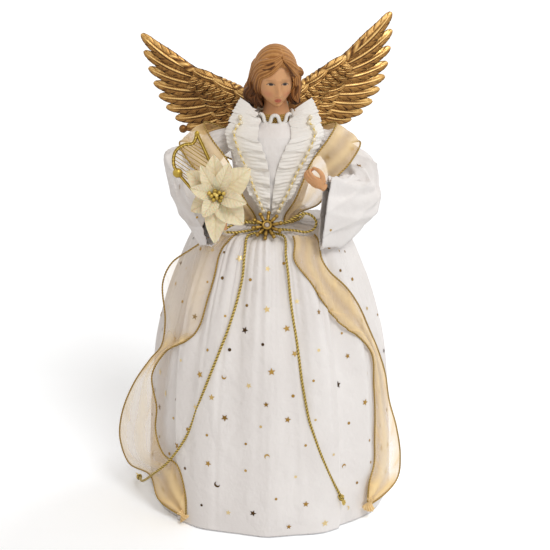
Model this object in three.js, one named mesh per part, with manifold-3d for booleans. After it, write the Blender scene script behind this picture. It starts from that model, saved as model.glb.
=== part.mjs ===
// Angel tree topper: a figure in a gathered gown on a card cone, with cast wings, a wired ribbon stole,
// a harp and a fabric flower. The cone drops over the top shoot of a tree, or stands on its base ring.
// Millimetres, +Z up, the figure faces -Y. The origin is the centre of the base, on the cone's axis.
// Left and right are the figure's own, so its left side is at +X.
import * as THREE from "three";
import { mergeVertices } from "three/addons/utils/BufferGeometryUtils.js";
import Module from "manifold-3d";

const wasm = await Module();
wasm.setup();

// Clearances and cloth
const GAP = 0.3; // between pieces that touch
const CLOTH = 1.0; // gown cloth with its lining
const ORGANZA = 0.8; // ribbon and ruffle
const CORD_RADIUS = 1.1;

// Base ring, cone and gown
const HEM_RADIUS = 101; // outside of the cloth at the hem
const HEM_LIFT = 0.8; // hem above the surface
const RING_WIDTH = 11;
const RING_HEIGHT = 2.5;
const CONE_WALL = 1.6;
const CONE_SET_IN = 5; // cone foot inside the ring's rim
const CONE_TOP_RADIUS = 20;
const WAIST_Z = 243;
const DRAWN_WAIST_Z = 243; // waist that the heights of ribbon ends and cords are given for
const WAIST_RADIUS = 23;
const WAIST_FLARE = 0.5; // bodice wider just above the waist line
const WAIST_SKIRT = 6; // bodice below the waist line
const GOWN_RISE = 3; // gown's gathered edge above the waist line
const STOLE_EASE = 1; // between the gown's gathered edge and the stole under the belt
const HIP_RADIUS = 58;
const HIP_DROP = 14;
const FOLDS = 12;
const FOLD_DEPTH = 4;
const LINING_GAP = 2.2; // petticoat inside the gown
const LINING_TOP_Z = 215;

// Bust, measured from the waist line
const NECK_HEIGHT = 82;
const CHEST_HALF_WIDTH = 33;
const CHEST_HALF_DEPTH = 30;
const SHOULDER_HALF_WIDTH = 35;
const NECK_OPENING = 15;
const LEAN = 4; // the neck's offset to the figure's left
const NECK_RADIUS = 11;
const NECK_TAPER = 3; // from the collar to the chin
const DOWEL_RADIUS = 4;
const DOWEL_LENGTH = 36;
const DOWEL_DEPTH = 17; // in the bust form

// Head
const HEAD_CENTRE = new THREE.Vector3(LEAN - 1.5, -3, NECK_HEIGHT + 36.5);
const HEAD_TURN = 13; // degrees to the figure's left
const HEAD_BOW = 17;
const HEAD_TILT = 2;
const SKULL = new THREE.Vector3(16.5, 19, 23);
const HAIR_CAP = new THREE.Vector3(20, 21.5, 22.8);

// Collar, ruffles and pearls
const COLLAR_WALL = 1.4;
const COLLAR_HEIGHT = 8;
const RICKRACK_RADIUS = 1.2;
const RICKRACK_WAVES = 7;
const RICKRACK_SWING = 3.4;
const RUFFLE_WAVES = 7;
const RUFFLE_SWING = 2.2;
const PEARL_RADIUS = 1.9;
const PEARLS = 16;
const PEARLS_FROM = 0.16; // along the ruffle, from 0 at the collar to 1 at the belt
const PEARLS_TO = 0.96;
const THREAD_RADIUS = 0.6;
const PEARL_LINE = 0.3; // across the ruffle, from -1 at its inner edge to 1 at its outer edge

// Arms
const WIRE_RADIUS = 1.4;
const WRIST_GAP = 1; // between the wire's end and the hand that turns on it
const HAND_LENGTH = 20;

// Brooch and bow
const BROOCH_RAYS = 10;
const BROOCH_RADIUS = 12.5;
const BROOCH_TILT = 42;
const BROOCH_PEARL_RADIUS = 2.6;

// Wings, measured in each wing's own plane
const WING_ROLL = 5; // degrees that the figure's left wing stands higher
const WING_SWEEP = 16;
const WING_Z = 75; // middle of the wing plate above the waist line
const PLATE_HALF_WIDTH = 13;
const PLATE_HALF_HEIGHT = 15;
const PLATE_THICKNESS = 2.5;
const TANG_THICKNESS = 3.5;
const SCREW_RADIUS = 1.5;
const SCREW_HEAD_RADIUS = 3;
const SCREW_HEAD = 1.8;

// Harp and flower
const HARP_Y = -67;
const STRINGS = 7;
const STRING_RADIUS = 0.45;
const STEM_RADIUS = 1.1;
const FLOWER_CENTRE = new THREE.Vector3(-41, -84, 42);
const FLOWER_TILT = 14;
const PETAL_THICKNESS = 0.9;
const STAMEN_LENGTH = 5.4;
const STAMEN_SPREAD = 5.2;

// Values that follow from the ones above
const ringRadius = HEM_RADIUS - CLOTH - GAP;
const coneFootRadius = ringRadius - CONE_SET_IN;
const coneFootZ = RING_HEIGHT + GAP;
const coneTopZ = WAIST_Z - WAIST_SKIRT - GAP;
const gownTopRadius = WAIST_RADIUS + WAIST_FLARE + GAP;
const stoleWaistRadius = gownTopRadius + CLOTH + STOLE_EASE + ORGANZA / 2;
const beltRadius = stoleWaistRadius + ORGANZA / 2 + GAP + CORD_RADIUS;
const neckX = LEAN;
const heightScale = WAIST_Z / DRAWN_WAIST_Z;

const radians = THREE.MathUtils.degToRad;
const lerp = THREE.MathUtils.lerp;
const smooth = THREE.MathUtils.smoothstep;
const at = (x, y, z) => new THREE.Vector3(x, y, z);

// Closed meshes and solids

function closedMesh(points, index) {
  const geometry = new THREE.BufferGeometry().setFromPoints(points);
  let volume = 0;
  for (let i = 0; i < index.length; i += 3) {
    const [a, b, c] = [points[index[i]], points[index[i + 1]], points[index[i + 2]]];
    volume += a.dot(b.clone().cross(c));
  }
  if (volume < 0) index.reverse();
  geometry.setIndex(index);
  return geometry;
}

// Joins rings of equally many points. The ends are fans, flat strips, or joined to each other as a loop.
// Each quad is split along its shorter diagonal, so that both faces of a thin sheet are split alike.
function loft(rings, ends = "fan") {
  const n = rings[0].length;
  const points = rings.flat();
  const index = [];
  const split = (p, q, r, s) => {
    const direct = points[p].distanceTo(points[r]) <= points[q].distanceTo(points[s]);
    index.push(...(direct ? [p, q, r, p, r, s] : [q, r, s, q, s, p]));
  };
  const spans = ends === "loop" ? rings.length : rings.length - 1;
  for (let i = 0; i < spans; i++) {
    const a = i * n;
    const b = ((i + 1) % rings.length) * n;
    for (let j = 0; j < n; j++) {
      const k = (j + 1) % n;
      split(a + j, a + k, b + k, b + j);
    }
  }
  const caps = [
    [0, false],
    [(rings.length - 1) * n, true],
  ];
  for (const [start, last] of caps) {
    if (ends === "fan") {
      const middle = new THREE.Vector3();
      for (let j = 0; j < n; j++) middle.addScaledVector(points[start + j], 1 / n);
      points.push(middle);
      for (let j = 0; j < n; j++) {
        const edge = [start + j, start + ((j + 1) % n)];
        index.push(...(last ? edge : edge.reverse()), points.length - 1);
      }
    }
    if (ends === "strip") {
      for (let j = 0; j < n / 2 - 1; j++) {
        const quad = [start + j, start + j + 1, start + n - 2 - j, start + n - 1 - j];
        if (!last) quad.reverse();
        index.push(quad[0], quad[1], quad[2], quad[0], quad[2], quad[3]);
      }
    }
  }
  return closedMesh(points, index);
}

function solid(geometry) {
  const bare = new THREE.BufferGeometry();
  bare.setAttribute("position", geometry.getAttribute("position").clone());
  bare.setIndex(geometry.index);
  const merged = mergeVertices(bare, 1e-4);
  const source = merged.index.array;
  const corners = [];
  for (let i = 0; i < source.length; i += 3) {
    const [a, b, c] = [source[i], source[i + 1], source[i + 2]];
    if (a !== b && b !== c && c !== a) corners.push(a, b, c);
  }
  return new wasm.Manifold(
    new wasm.Mesh({
      numProp: 3,
      vertProperties: merged.attributes.position.array,
      triVerts: new Uint32Array(corners),
    }),
  );
}

function join(geometries) {
  return geometries.map(solid).reduce((sum, next) => sum.add(next));
}

function geometryOf(made) {
  const mesh = made.getMesh();
  const positions = new Float32Array(mesh.numVert * 3);
  for (let i = 0; i < mesh.numVert; i++) {
    positions.set(mesh.vertProperties.subarray(i * mesh.numProp, i * mesh.numProp + 3), i * 3);
  }
  const geometry = new THREE.BufferGeometry();
  geometry.setAttribute("position", new THREE.BufferAttribute(positions, 3));
  geometry.setIndex(new THREE.BufferAttribute(mesh.triVerts, 1));
  return geometry;
}

function tube(points, radius, steps, sides = 8) {
  const shape = new THREE.Shape().absarc(0, 0, radius, 0, 2 * Math.PI);
  return new THREE.ExtrudeGeometry(shape, {
    steps,
    curveSegments: sides / 2, // an arc is drawn with twice its segments
    bevelEnabled: false,
    extrudePath: new THREE.CatmullRomCurve3(points),
  });
}

// A round bar whose radius changes along its path.
function limb(points, radii, steps, sides = 6) {
  const path = new THREE.CatmullRomCurve3(points);
  const frames = path.computeFrenetFrames(steps);
  const rings = [];
  for (let i = 0; i <= steps; i++) {
    const place = (i / steps) * (radii.length - 1);
    const from = Math.min(Math.floor(place), radii.length - 2);
    const radius = lerp(radii[from], radii[from + 1], place - from);
    rings.push(
      Array.from({ length: sides }, (_, j) => {
        const angle = (2 * Math.PI * j) / sides;
        return path
          .getPointAt(i / steps)
          .addScaledVector(frames.normals[i], radius * Math.cos(angle))
          .addScaledVector(frames.binormals[i], radius * Math.sin(angle));
      }),
    );
  }
  return loft(rings);
}

// A unit sphere whose seam and poles are joined, so that it can be bent without opening.
function unitBall(around, down) {
  const ball = new THREE.SphereGeometry(1, around, down);
  ball.deleteAttribute("normal");
  ball.deleteAttribute("uv");
  return mergeVertices(ball, 1e-4);
}

function ellipsoid(radii, centre, around = 12, down = 8) {
  return unitBall(around, down)
    .scale(radii.x, radii.y, radii.z)
    .translate(centre.x, centre.y, centre.z);
}

// The normal of a surface place(t, j), with t along it from 0 to 1 and j across it from -1 to 1.
function normalOf(place, t, j) {
  const small = 1e-3;
  const along = place(Math.min(t + small, 1), j).sub(place(Math.max(t - small, 0), j));
  const over = place(t, Math.min(j + small, 1)).sub(place(t, Math.max(j - small, -1)));
  return along.cross(over).normalize();
}

// A thin sheet whose middle is a surface.
function sheet(place, steps, across, thickness) {
  const rings = [];
  for (let i = 0; i <= steps; i++) {
    const t = i / steps;
    const top = [];
    const bottom = [];
    for (let k = 0; k <= across; k++) {
      const j = (2 * k) / across - 1;
      const normal = normalOf(place, t, j);
      top.push(place(t, j).addScaledVector(normal, thickness / 2));
      bottom.unshift(place(t, j).addScaledVector(normal, -thickness / 2));
    }
    rings.push([...top, ...bottom]);
  }
  return loft(rings, "strip");
}

// A sheet's surface between two edge curves, each a row of (angle, height, lift) on a round form.
function between(inner, outer, form) {
  const rows = [inner, outer].map((row) => new THREE.CatmullRomCurve3(row.map((p) => at(...p))));
  return (t, j) => {
    const point = rows[0].getPoint(t).lerp(rows[1].getPoint(t), (j + 1) / 2);
    return form(radians(point.x), point.y, point.z);
  };
}

function mesh(name, geometry, material) {
  const made = new THREE.Mesh(geometry, material);
  made.name = name;
  return made;
}

// Materials
const finish = (color, roughness, metalness = 0) =>
  new THREE.MeshStandardMaterial({ color, roughness, metalness });
const card = finish(0xb9aa92, 0.9);
const satin = finish(0xf0ecea, 0.6);
const lining = finish(0xf4f1ec, 0.8);
const foam = finish(0xf2efe8, 0.9);
const skin = finish(0xc99a6b, 0.55);
const hairPaint = finish(0xa87440, 0.5);
const sheer = finish(0xf3f0ea, 0.6);
const ribbon = finish(0xd9b271, 0.5);
const gilt = finish(0xa9853a, 0.4, 0.7);
const castGold = finish(0xb98a3c, 0.4, 0.6);
const pearl = finish(0xf3e9cf, 0.25);
const steel = finish(0x8d8f92, 0.35, 1);
const ivory = finish(0xe6dfc3, 0.8);
const wood = finish(0xb08a5a, 0.7);

// Gown: a bell whose folds start at the waist and soften towards the hem

const SKIRT_SHAPE = [
  // share of the way from hip to hem: out, down
  [0.35, 0.15],
  [0.6, 0.29],
  [0.79, 0.43],
  [0.91, 0.62],
  [0.98, 0.82],
  [1, 1],
];
const hemInside = HEM_RADIUS - CLOTH;
const hipZ = WAIST_Z - HIP_DROP;
const skirtCurve = new THREE.SplineCurve([
  new THREE.Vector2(gownTopRadius, WAIST_Z + GOWN_RISE),
  new THREE.Vector2(gownTopRadius + 2, WAIST_Z - 4),
  new THREE.Vector2(lerp(gownTopRadius, HIP_RADIUS, 0.62), WAIST_Z - HIP_DROP / 2),
  new THREE.Vector2(HIP_RADIUS, hipZ),
  ...SKIRT_SHAPE.map(
    ([out, down]) =>
      new THREE.Vector2(lerp(HIP_RADIUS, hemInside, out), lerp(hipZ, HEM_LIFT, down)),
  ),
]);

function skirtShare(z) {
  let [low, high] = [0, 1];
  for (let i = 0; i < 30; i++) {
    const middle = (low + high) / 2;
    if (skirtCurve.getPoint(middle).y > z) low = middle;
    else high = middle;
  }
  return low;
}

function fold(angle, share) {
  const wave = 0.5 + 0.5 * Math.cos(FOLDS * angle + 1.1 * Math.sin(2 * angle) + 0.6);
  return FOLD_DEPTH * wave * smooth(share, 0.05, 0.35) * (1 - 0.6 * smooth(share, 0.5, 1));
}

// A point on the gown's inside, moved out along its profile's normal by the fold and the lift.
function onSkirtShare(angle, share, lift, folded = 1) {
  const place = skirtCurve.getPoint(share);
  const way = skirtCurve.getTangent(share);
  const out = lift + folded * fold(angle, share);
  const radius = place.x - way.y * out;
  return at(radius * Math.sin(angle), -radius * Math.cos(angle), place.y + way.x * out);
}
// Heights on the gown are given for the drawn waist, and follow the waist.
const onSkirt = (angle, z, lift) => onSkirtShare(angle, skirtShare(z * heightScale), lift);

function bell(around, shares, inside, outside, folded) {
  const ring = (share, lift) =>
    Array.from({ length: around }, (_, j) =>
      onSkirtShare((2 * Math.PI * j) / around, share, lift, folded),
    );
  const outer = shares.map((share) => ring(share, outside));
  const inner = shares.map((share) => ring(share, inside)).reverse();
  return loft([...outer, ...inner], "loop");
}

const lathe = (profile, around) =>
  new THREE.LatheGeometry(
    [...profile, profile[0]].map(([r, z]) => new THREE.Vector2(r, z)),
    around,
  ).rotateX(Math.PI / 2);

function base() {
  const group = new THREE.Group();
  const ring = [
    [ringRadius - RING_WIDTH, 0],
    [ringRadius, 0],
    [ringRadius, RING_HEIGHT],
    [ringRadius - RING_WIDTH, RING_HEIGHT],
  ];
  const cone = [
    [coneFootRadius - CONE_WALL, coneFootZ],
    [coneFootRadius, coneFootZ],
    [CONE_TOP_RADIUS, coneTopZ],
    [CONE_TOP_RADIUS - CONE_WALL, coneTopZ],
  ];
  const gownShares = [0, 0.09, 0.17, 0.27, 0.38, 0.52, 0.68, 0.84, 1];
  const liningFrom = skirtShare(LINING_TOP_Z);
  const liningTo = skirtShare(coneFootZ);
  const liningShares = [0, 0.25, 0.5, 0.75, 1].map((s) => lerp(liningFrom, liningTo, s));
  group.add(
    mesh("base_ring", geometryOf(solid(lathe(ring, 32))), card),
    mesh("tree_cone", geometryOf(solid(lathe(cone, 32))), card),
    mesh("petticoat", bell(20, liningShares, -LINING_GAP - CLOTH, -LINING_GAP, 0), lining),
    mesh("gown_skirt", bell(48, gownShares, 0, CLOTH, 1), satin),
  );
  return group;
}

// Bust: ellipses stacked from the waist to the neck, shared by what lies on it

const BODY = [
  // height above the waist line, half width, half depth
  [-WAIST_SKIRT, WAIST_RADIUS, WAIST_RADIUS],
  [4, WAIST_RADIUS + WAIST_FLARE, WAIST_RADIUS + WAIST_FLARE],
  [18, lerp(WAIST_RADIUS, CHEST_HALF_WIDTH, 0.5), lerp(WAIST_RADIUS, CHEST_HALF_DEPTH, 0.5)],
  [45, CHEST_HALF_WIDTH, CHEST_HALF_DEPTH],
  [63, SHOULDER_HALF_WIDTH, CHEST_HALF_DEPTH],
  [NECK_HEIGHT - 8, SHOULDER_HALF_WIDTH - 5, CHEST_HALF_DEPTH - 5],
  [NECK_HEIGHT, NECK_OPENING, NECK_OPENING],
];
const bodyCurve = new THREE.CubicInterpolant(
  BODY.map((row) => row[0]),
  BODY.flatMap((row) => row.slice(1)),
  2,
);

function onBody(angle, height, lift) {
  const [width, depth] = bodyCurve.evaluate(Math.min(height, NECK_HEIGHT));
  const x = (LEAN * height) / NECK_HEIGHT + (width + lift) * Math.sin(angle);
  return at(x, -(depth + lift) * Math.cos(angle), height);
}

const BODY_HEIGHTS = [-WAIST_SKIRT, 4, 18, 42, 63, 72, 78, NECK_HEIGHT];
function bodyRings(lift, around, top = NECK_HEIGHT) {
  return BODY_HEIGHTS.map((height) =>
    Array.from({ length: around }, (_, j) =>
      onBody((2 * Math.PI * j) / around, Math.min(height, top), lift),
    ),
  );
}

// Arms: each has its wire's route and its sleeve's sections, from shoulder to wrist

const ARMS = {
  left: {
    wire: [
      at(14, 0, 60), at(34, 0, 65), at(60, -2, 46), at(75, -16, 19), at(62, -36, 24), at(44.5, -55.5, 39),
    ],
    // centre, outer half axis, back and under half axis
    sleeve: [
      [at(28, 1, 69), at(4, 0, 7), at(0, 10, 0)],
      [at(45, 1, 63), at(8, 0, 7.5), at(0, 12, 0)],
      [at(55, 0, 54), at(10, 0, 9), at(0, 13.5, -1)],
      [at(66, -4, 39), at(17, 0, 9), at(0, 14, -8)],
      [at(71, -15, 19), at(17.5, -2, 1), at(0, 8, -20)],
      [at(61, -34, 17), at(9, -7.5, 0), at(0, 2, -26)],
      [at(42, -55.5, 18.5), at(1.5, -8.5, 0), at(-2, 0, -27.5)],
    ],
    hand: { forward: at(-0.8, -0.15, 0.55), thumb: at(0.45, -0.55, 0.7), palm: -1 },
  },
  right: {
    wire: [
      at(-10, 0, 60), at(-30, 0, 65), at(-54, -3, 46), at(-64, -18, 20), at(-57, -36, 12), at(-48, -54, 9),
    ],
    sleeve: [
      [at(-24, 1, 69), at(-4, 0, 7), at(0, 10, 0)],
      [at(-41, 1, 63), at(-8, 0, 7.5), at(0, 12, 0)],
      [at(-51, 0, 54), at(-10, 0, 9), at(0, 13.5, -1)],
      [at(-62, -3, 41), at(-22, 0, 12), at(0, 14, -8)],
      [at(-62, -16, 20), at(-14, -2, 1), at(0, 8, -20)],
      [at(-56, -35, 10), at(-8, -6.5, 0), at(0, 2, -18)],
      [at(-46, -54, 7), at(-6.5, -6.5, 0), at(0, 0, -15)],
    ],
    hand: { forward: at(0.45, -0.85, 0.25), thumb: at(0, 0.28, 0.96), palm: 1 },
  },
};

const wireEnd = (arm) => arm.wire.at(-1);
const wireTube = (arm, grow) => tube(arm.wire, WIRE_RADIUS + grow, 12, 6);

function sleeveShell(arm) {
  const curves = [0, 1, 2].map((k) => new THREE.CatmullRomCurve3(arm.sleeve.map((row) => row[k])));
  const rows = 8;
  const around = 12;
  const ring = (share, wall) => {
    const [centre, outer, under] = curves.map((curve) => curve.getPoint(share));
    outer.setLength(outer.length() - wall);
    under.setLength(under.length() - wall);
    return Array.from({ length: around }, (_, j) => {
      const angle = (2 * Math.PI * j) / around;
      const ripple = 1 + 0.05 * share * Math.cos(5 * angle);
      return centre
        .clone()
        .addScaledVector(outer, ripple * Math.cos(angle))
        .addScaledVector(under, ripple * Math.sin(angle));
    });
  };
  const shares = Array.from({ length: rows + 1 }, (_, i) => i / rows);
  const outside = shares.map((share) => ring(share, 0));
  const inside = shares.map((share) => ring(share, CLOTH)).reverse();
  return loft([...outside, ...inside], "loop");
}

// A hand in its own frame: +X to the fingertips, +Z to the thumb, and the fingers curl to the palm's side.
function handShape(side, grow) {
  const knuckle = 0.62 * HAND_LENGTH;
  const bend = (x, y, z) => at(x, side * y, z);
  const pieces = [
    limb([at(WRIST_GAP - grow, 0, 0), at(7, 0, 0)], [3.2 + grow, 4 + grow], 1, 6),
    ellipsoid(at(7 + grow, 3 + grow, 5.6 + grow), at(9, 0, 0), 8, 6),
  ];
  for (const z of [3.9, 1.3, -1.3, -3.6]) {
    const route = [
      bend(knuckle - 3, 0, z),
      bend(HAND_LENGTH - 3, 0.6, z),
      bend(HAND_LENGTH, 3.6, 0.95 * z),
      bend(HAND_LENGTH - 3, 6.4, 0.9 * z),
    ];
    pieces.push(limb(route, [1.7 + grow, 1.6 + grow, 1.2 + grow], 3, 5));
  }
  const thumb = [bend(6, 1, 4), bend(10.5, 2.5, 8.4), bend(16, 4.6, 8.2), bend(18.5, 6, 6)];
  pieces.push(limb(thumb, [2 + grow, 1.7 + grow, 1.2 + grow], 3, 5));
  return join(pieces);
}

function handFrame(arm) {
  const x = arm.hand.forward.clone().normalize();
  const y = arm.hand.thumb.clone().cross(x).normalize();
  const z = x.clone().cross(y);
  return new THREE.Matrix4().makeBasis(x, y, z).setPosition(wireEnd(arm));
}

function placedHand(arm, grow) {
  return handShape(arm.hand.palm, grow).transform(handFrame(arm).elements);
}

function bust() {
  const group = new THREE.Group();
  const wireHoles = Object.values(ARMS).map((arm) => solid(wireTube(arm, GAP)));
  const bodyGrown = solid(loft(bodyRings(GAP, 18)));
  const shell = loft([...bodyRings(0, 18), ...bodyRings(-CLOTH, 18).reverse()], "loop");
  const bodice = wireHoles.reduce((cloth, hole) => cloth.subtract(hole), solid(shell));
  const coreTop = NECK_HEIGHT - 1;
  const dowelZ = coreTop - DOWEL_DEPTH;
  const dowel = (grow) =>
    new THREE.CylinderGeometry(DOWEL_RADIUS + grow, DOWEL_RADIUS + grow, DOWEL_LENGTH + 2 * grow, 12)
      .rotateX(Math.PI / 2)
      .translate(neckX, 0, dowelZ + DOWEL_LENGTH / 2);
  const core = [...wireHoles, solid(dowel(GAP))].reduce(
    (form, hole) => form.subtract(hole),
    solid(loft(bodyRings(-CLOTH - GAP, 18, coreTop))),
  );
  const { skull, hair } = headAndHair(coreTop + GAP);
  group.add(
    mesh("torso_core", geometryOf(core), foam),
    mesh("bodice", geometryOf(bodice), satin),
    mesh("neck_dowel", dowel(0), wood),
    mesh("head", geometryOf(skull.subtract(solid(dowel(GAP)))), skin),
    mesh("hair", geometryOf(hair), hairPaint),
  );
  for (const [side, arm] of Object.entries(ARMS)) {
    const sleeve = solid(sleeveShell(arm)).subtract(bodyGrown);
    group.add(mesh("arm_wire_" + side, wireTube(arm, 0), steel));
    group.add(mesh("sleeve_" + side, geometryOf(largest(sleeve)), satin));
  }
  return group;
}

const largest = (made) =>
  made.decompose().reduce((best, next) => (next.volume() > best.volume() ? next : best));

// Head: a bowed and turned egg with brow, nose and chin, on a neck. The hair is a cap with waved locks.
function headAndHair(neckZ) {
  const pose = new THREE.Matrix4().makeRotationFromEuler(
    new THREE.Euler(radians(HEAD_BOW), radians(HEAD_TILT), radians(HEAD_TURN), "ZXY"),
  );
  pose.setPosition(HEAD_CENTRE);
  const bump = (p, x, z, wide, high) =>
    p.y < 0 ? Math.exp(-(((p.x - x) / wide) ** 2) - ((p.z - z) / high) ** 2) : 0;
  const face = (grow) => {
    const egg = unitBall(14, 11).rotateX(Math.PI / 2);
    const places = egg.getAttribute("position");
    const p = at(0, 0, 0);
    for (let i = 0; i < places.count; i++) {
      p.fromBufferAttribute(places, i);
      const low = Math.max(0, -p.z);
      p.multiply(SKULL.clone().addScalar(grow));
      p.x *= 1 - 0.3 * low ** 1.6;
      p.y *= p.y > 0 ? 1 - 0.25 * low : 1;
      p.y -= 3.4 * bump(p, 0, -8.5, 2.6, 4.5);
      p.y -= 1.2 * bump(p, 0, -15, 4, 2.4);
      p.y -= 1.6 * bump(p, 0, -21, 5, 3.5);
      p.y += 1.6 * (bump(p, -5.8, -1.5, 3.4, 2.6) + bump(p, 5.8, -1.5, 3.4, 2.6));
      places.setXYZ(i, p.x, p.y, p.z);
    }
    const nape = at(HEAD_CENTRE.x, HEAD_CENTRE.y + 3, HEAD_CENTRE.z - 8);
    const throat = [at(neckX, 0, neckZ - grow), at(neckX, 0, neckZ + 8), at(neckX, -0.5, neckZ + 15), nape];
    const neck = limb(throat, [NECK_RADIUS + grow, NECK_RADIUS - NECK_TAPER + grow], 4, 14);
    return solid(egg.applyMatrix4(pose)).add(solid(neck));
  };
  const lock = (side, route, radii) => limb(route.map(([x, y, z]) => at(side * x, y, z)), radii, 5, 4);
  const pieces = [ellipsoid(HAIR_CAP, at(0, 2.5, 2), 12, 8)];
  for (const side of [-1, 1]) {
    pieces.push(
      lock(side, [[5, -14, 16], [14, -15, 9], [16.5, -10, -3], [19, -8, -13], [15.5, -9, -22.5]], [4, 5, 4.8, 3]),
      lock(side, [[8, 0, 16], [17, 3, 6], [16.5, 5, -8], [18, 6, -19], [14.5, 3, -28]], [5, 6, 5.6, 3]),
      lock(side, [[4, 13, 14], [9, 19, 0], [8, 20, -12], [10, 18, -21], [6, 15, -30]], [5, 6.6, 6, 3]),
    );
  }
  const opening = ellipsoid(at(13, 16, 19), at(0.5, -22, -5), 10, 8);
  const wig = join(pieces).subtract(solid(opening)).transform(pose.elements);
  return { skull: face(0), hair: largest(wig.subtract(face(GAP))) };
}

// Collar braid, ruffles and pearls

const RUFFLE_INNER = [
  // degrees from the front, height above the waist line, lift off the bodice
  [60, 86, 2],
  [36, 78, 2],
  [20, 66, 1.2],
  [10, 50, 1],
  [3, 28, 1],
  [1.5, 9, 1],
];
const RUFFLE_OUTER = [
  [82, 102, 14],
  [76, 84, 22],
  [62, 70, 9],
  [47, 50, 4],
  [31, 30, 5],
  [14, 10, 2.5],
];

function rufflePlace(side, wave) {
  const flip = ([angle, height, out]) => [side * angle, height, out];
  const rows = [RUFFLE_INNER, RUFFLE_OUTER].map((row) => row.map(flip));
  return (t, j) =>
    between(...rows, (angle, height, out) => onBody(angle, height, out + wave(t, j)))(t, j);
}

// Waves are deepest at the outer edge.
const ruffleDepth = (j) => RUFFLE_SWING * (0.3 + 0.7 * ((j + 1) / 2) ** 2);
const ruffleWave = (t, j) => ruffleDepth(j) * (0.5 + 0.5 * Math.sin(2 * Math.PI * RUFFLE_WAVES * t));
const ruffle = (side) => sheet(rufflePlace(side, ruffleWave), 35, 2, ORGANZA);

// Pearls threaded along the ruffle, a third of its width from its outer edge.
function pearls(side) {
  const across = PEARL_LINE;
  const place = rufflePlace(side, () => ruffleDepth(across));
  const above = ORGANZA / 2 + PEARL_RADIUS;
  const centres = Array.from({ length: PEARLS }, (_, i) => {
    const t = lerp(PEARLS_FROM, PEARLS_TO, i / (PEARLS - 1));
    return place(t, across).addScaledVector(normalOf(place, t, across), side * above);
  });
  const bead = [PEARL_RADIUS, THREAD_RADIUS, THREAD_RADIUS];
  const steps = bead.length * (PEARLS - 1);
  const radii = Array.from({ length: steps + 1 }, (_, i) => bead[i % bead.length]);
  return limb(centres, radii, steps, 5);
}

// A closed cord whose middle follows a round route.
function cordLoop(route, radius, steps, sides) {
  const rings = Array.from({ length: steps }, (_, i) => {
    const t = (2 * Math.PI * i) / steps;
    const middle = route(t);
    const along = route(t + 0.01).sub(route(t - 0.01)).normalize();
    const out = at(Math.sin(t), -Math.cos(t), 0);
    const up = along.clone().cross(out).normalize();
    return Array.from({ length: sides }, (_, j) => {
      const angle = (2 * Math.PI * j) / sides;
      return middle
        .clone()
        .addScaledVector(out, radius * Math.cos(angle))
        .addScaledVector(up, radius * Math.sin(angle));
    });
  });
  return loft(rings, "loop");
}

function trim() {
  const group = new THREE.Group();
  const collarFrom = NECK_HEIGHT + GAP;
  const collarInside = NECK_RADIUS + GAP;
  const collarOutside = collarInside + COLLAR_WALL;
  const band = [
    [collarInside, collarFrom],
    [collarOutside, collarFrom],
    [collarOutside, collarFrom + COLLAR_HEIGHT],
    [collarInside, collarFrom + COLLAR_HEIGHT],
  ];
  const braidRadius = collarOutside + GAP + RICKRACK_RADIUS;
  const braidZ = collarFrom + RICKRACK_SWING + RICKRACK_RADIUS + GAP;
  const braid = (t) =>
    at(
      neckX + braidRadius * Math.sin(t),
      -braidRadius * Math.cos(t),
      braidZ + RICKRACK_SWING * Math.cos(RICKRACK_WAVES * t),
    );
  group.add(
    mesh("collar_braid_gold", geometryOf(solid(lathe(band, 24).translate(neckX, 0, 0))), gilt),
    mesh("collar_braid_white", cordLoop(braid, RICKRACK_RADIUS, 42, 3), satin),
  );
  for (const [name, side] of [["left", 1], ["right", -1]]) {
    group.add(mesh("ruffle_" + name, ruffle(side), sheer));
    group.add(mesh("pearl_strand_" + name, pearls(side), pearl));
  }
  return group;
}

// Stole: one ribbon from the belt, over an arm, across the back, over the other arm and to the belt

const beltAngle = radians(45);
const beltHalfWidth = 8;
const beltChord = Math.sqrt(stoleWaistRadius ** 2 - beltHalfWidth ** 2);
const beltRow = (height) => [
  at(beltChord * Math.sin(beltAngle), -beltChord * Math.cos(beltAngle), height),
  at(beltHalfWidth * Math.cos(beltAngle), beltHalfWidth * Math.sin(beltAngle), 0),
  at(Math.sin(beltAngle), -Math.cos(beltAngle), 0).setLength(stoleWaistRadius - beltChord),
];
const STOLE_HALF = [
  // centre, half width, lift of the middle
  [at(0, CHEST_HALF_DEPTH + 3, 42), at(0, 0, -13), at(0, 0, 0)],
  [at(40, 23, 58), at(3, 3, -12), at(1, 1, 0)],
  [at(63.5, 1, 71), at(10, 0, -8), at(1, 0, 1)],
  [at(56, -20.5, 61), at(9, -2, -9), at(0, -1, 0)],
  [at(42, -30, 46), at(8.6, -3.4, -7), at(0, -1.5, 0)],
  [at(30, -33, 22), at(9.4, 0.3, -2), at(1, -2, 0)],
  beltRow(5.5),
  beltRow(-0.5),
];

function stole() {
  const mirror = (v) => at(-v.x, v.y, v.z);
  const right = STOLE_HALF.slice(1).reverse().map((row) => row.map(mirror));
  const rows = [...right, ...STOLE_HALF];
  const curves = [0, 1, 2].map((k) => new THREE.CatmullRomCurve3(rows.map((row) => row[k])));
  const place = (t, j) => {
    const [centre, half, lift] = curves.map((curve) => curve.getPoint(t));
    return centre.addScaledVector(half, j).addScaledVector(lift, 1 - j * j);
  };
  return sheet(place, 44, 2, ORGANZA);
}

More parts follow.
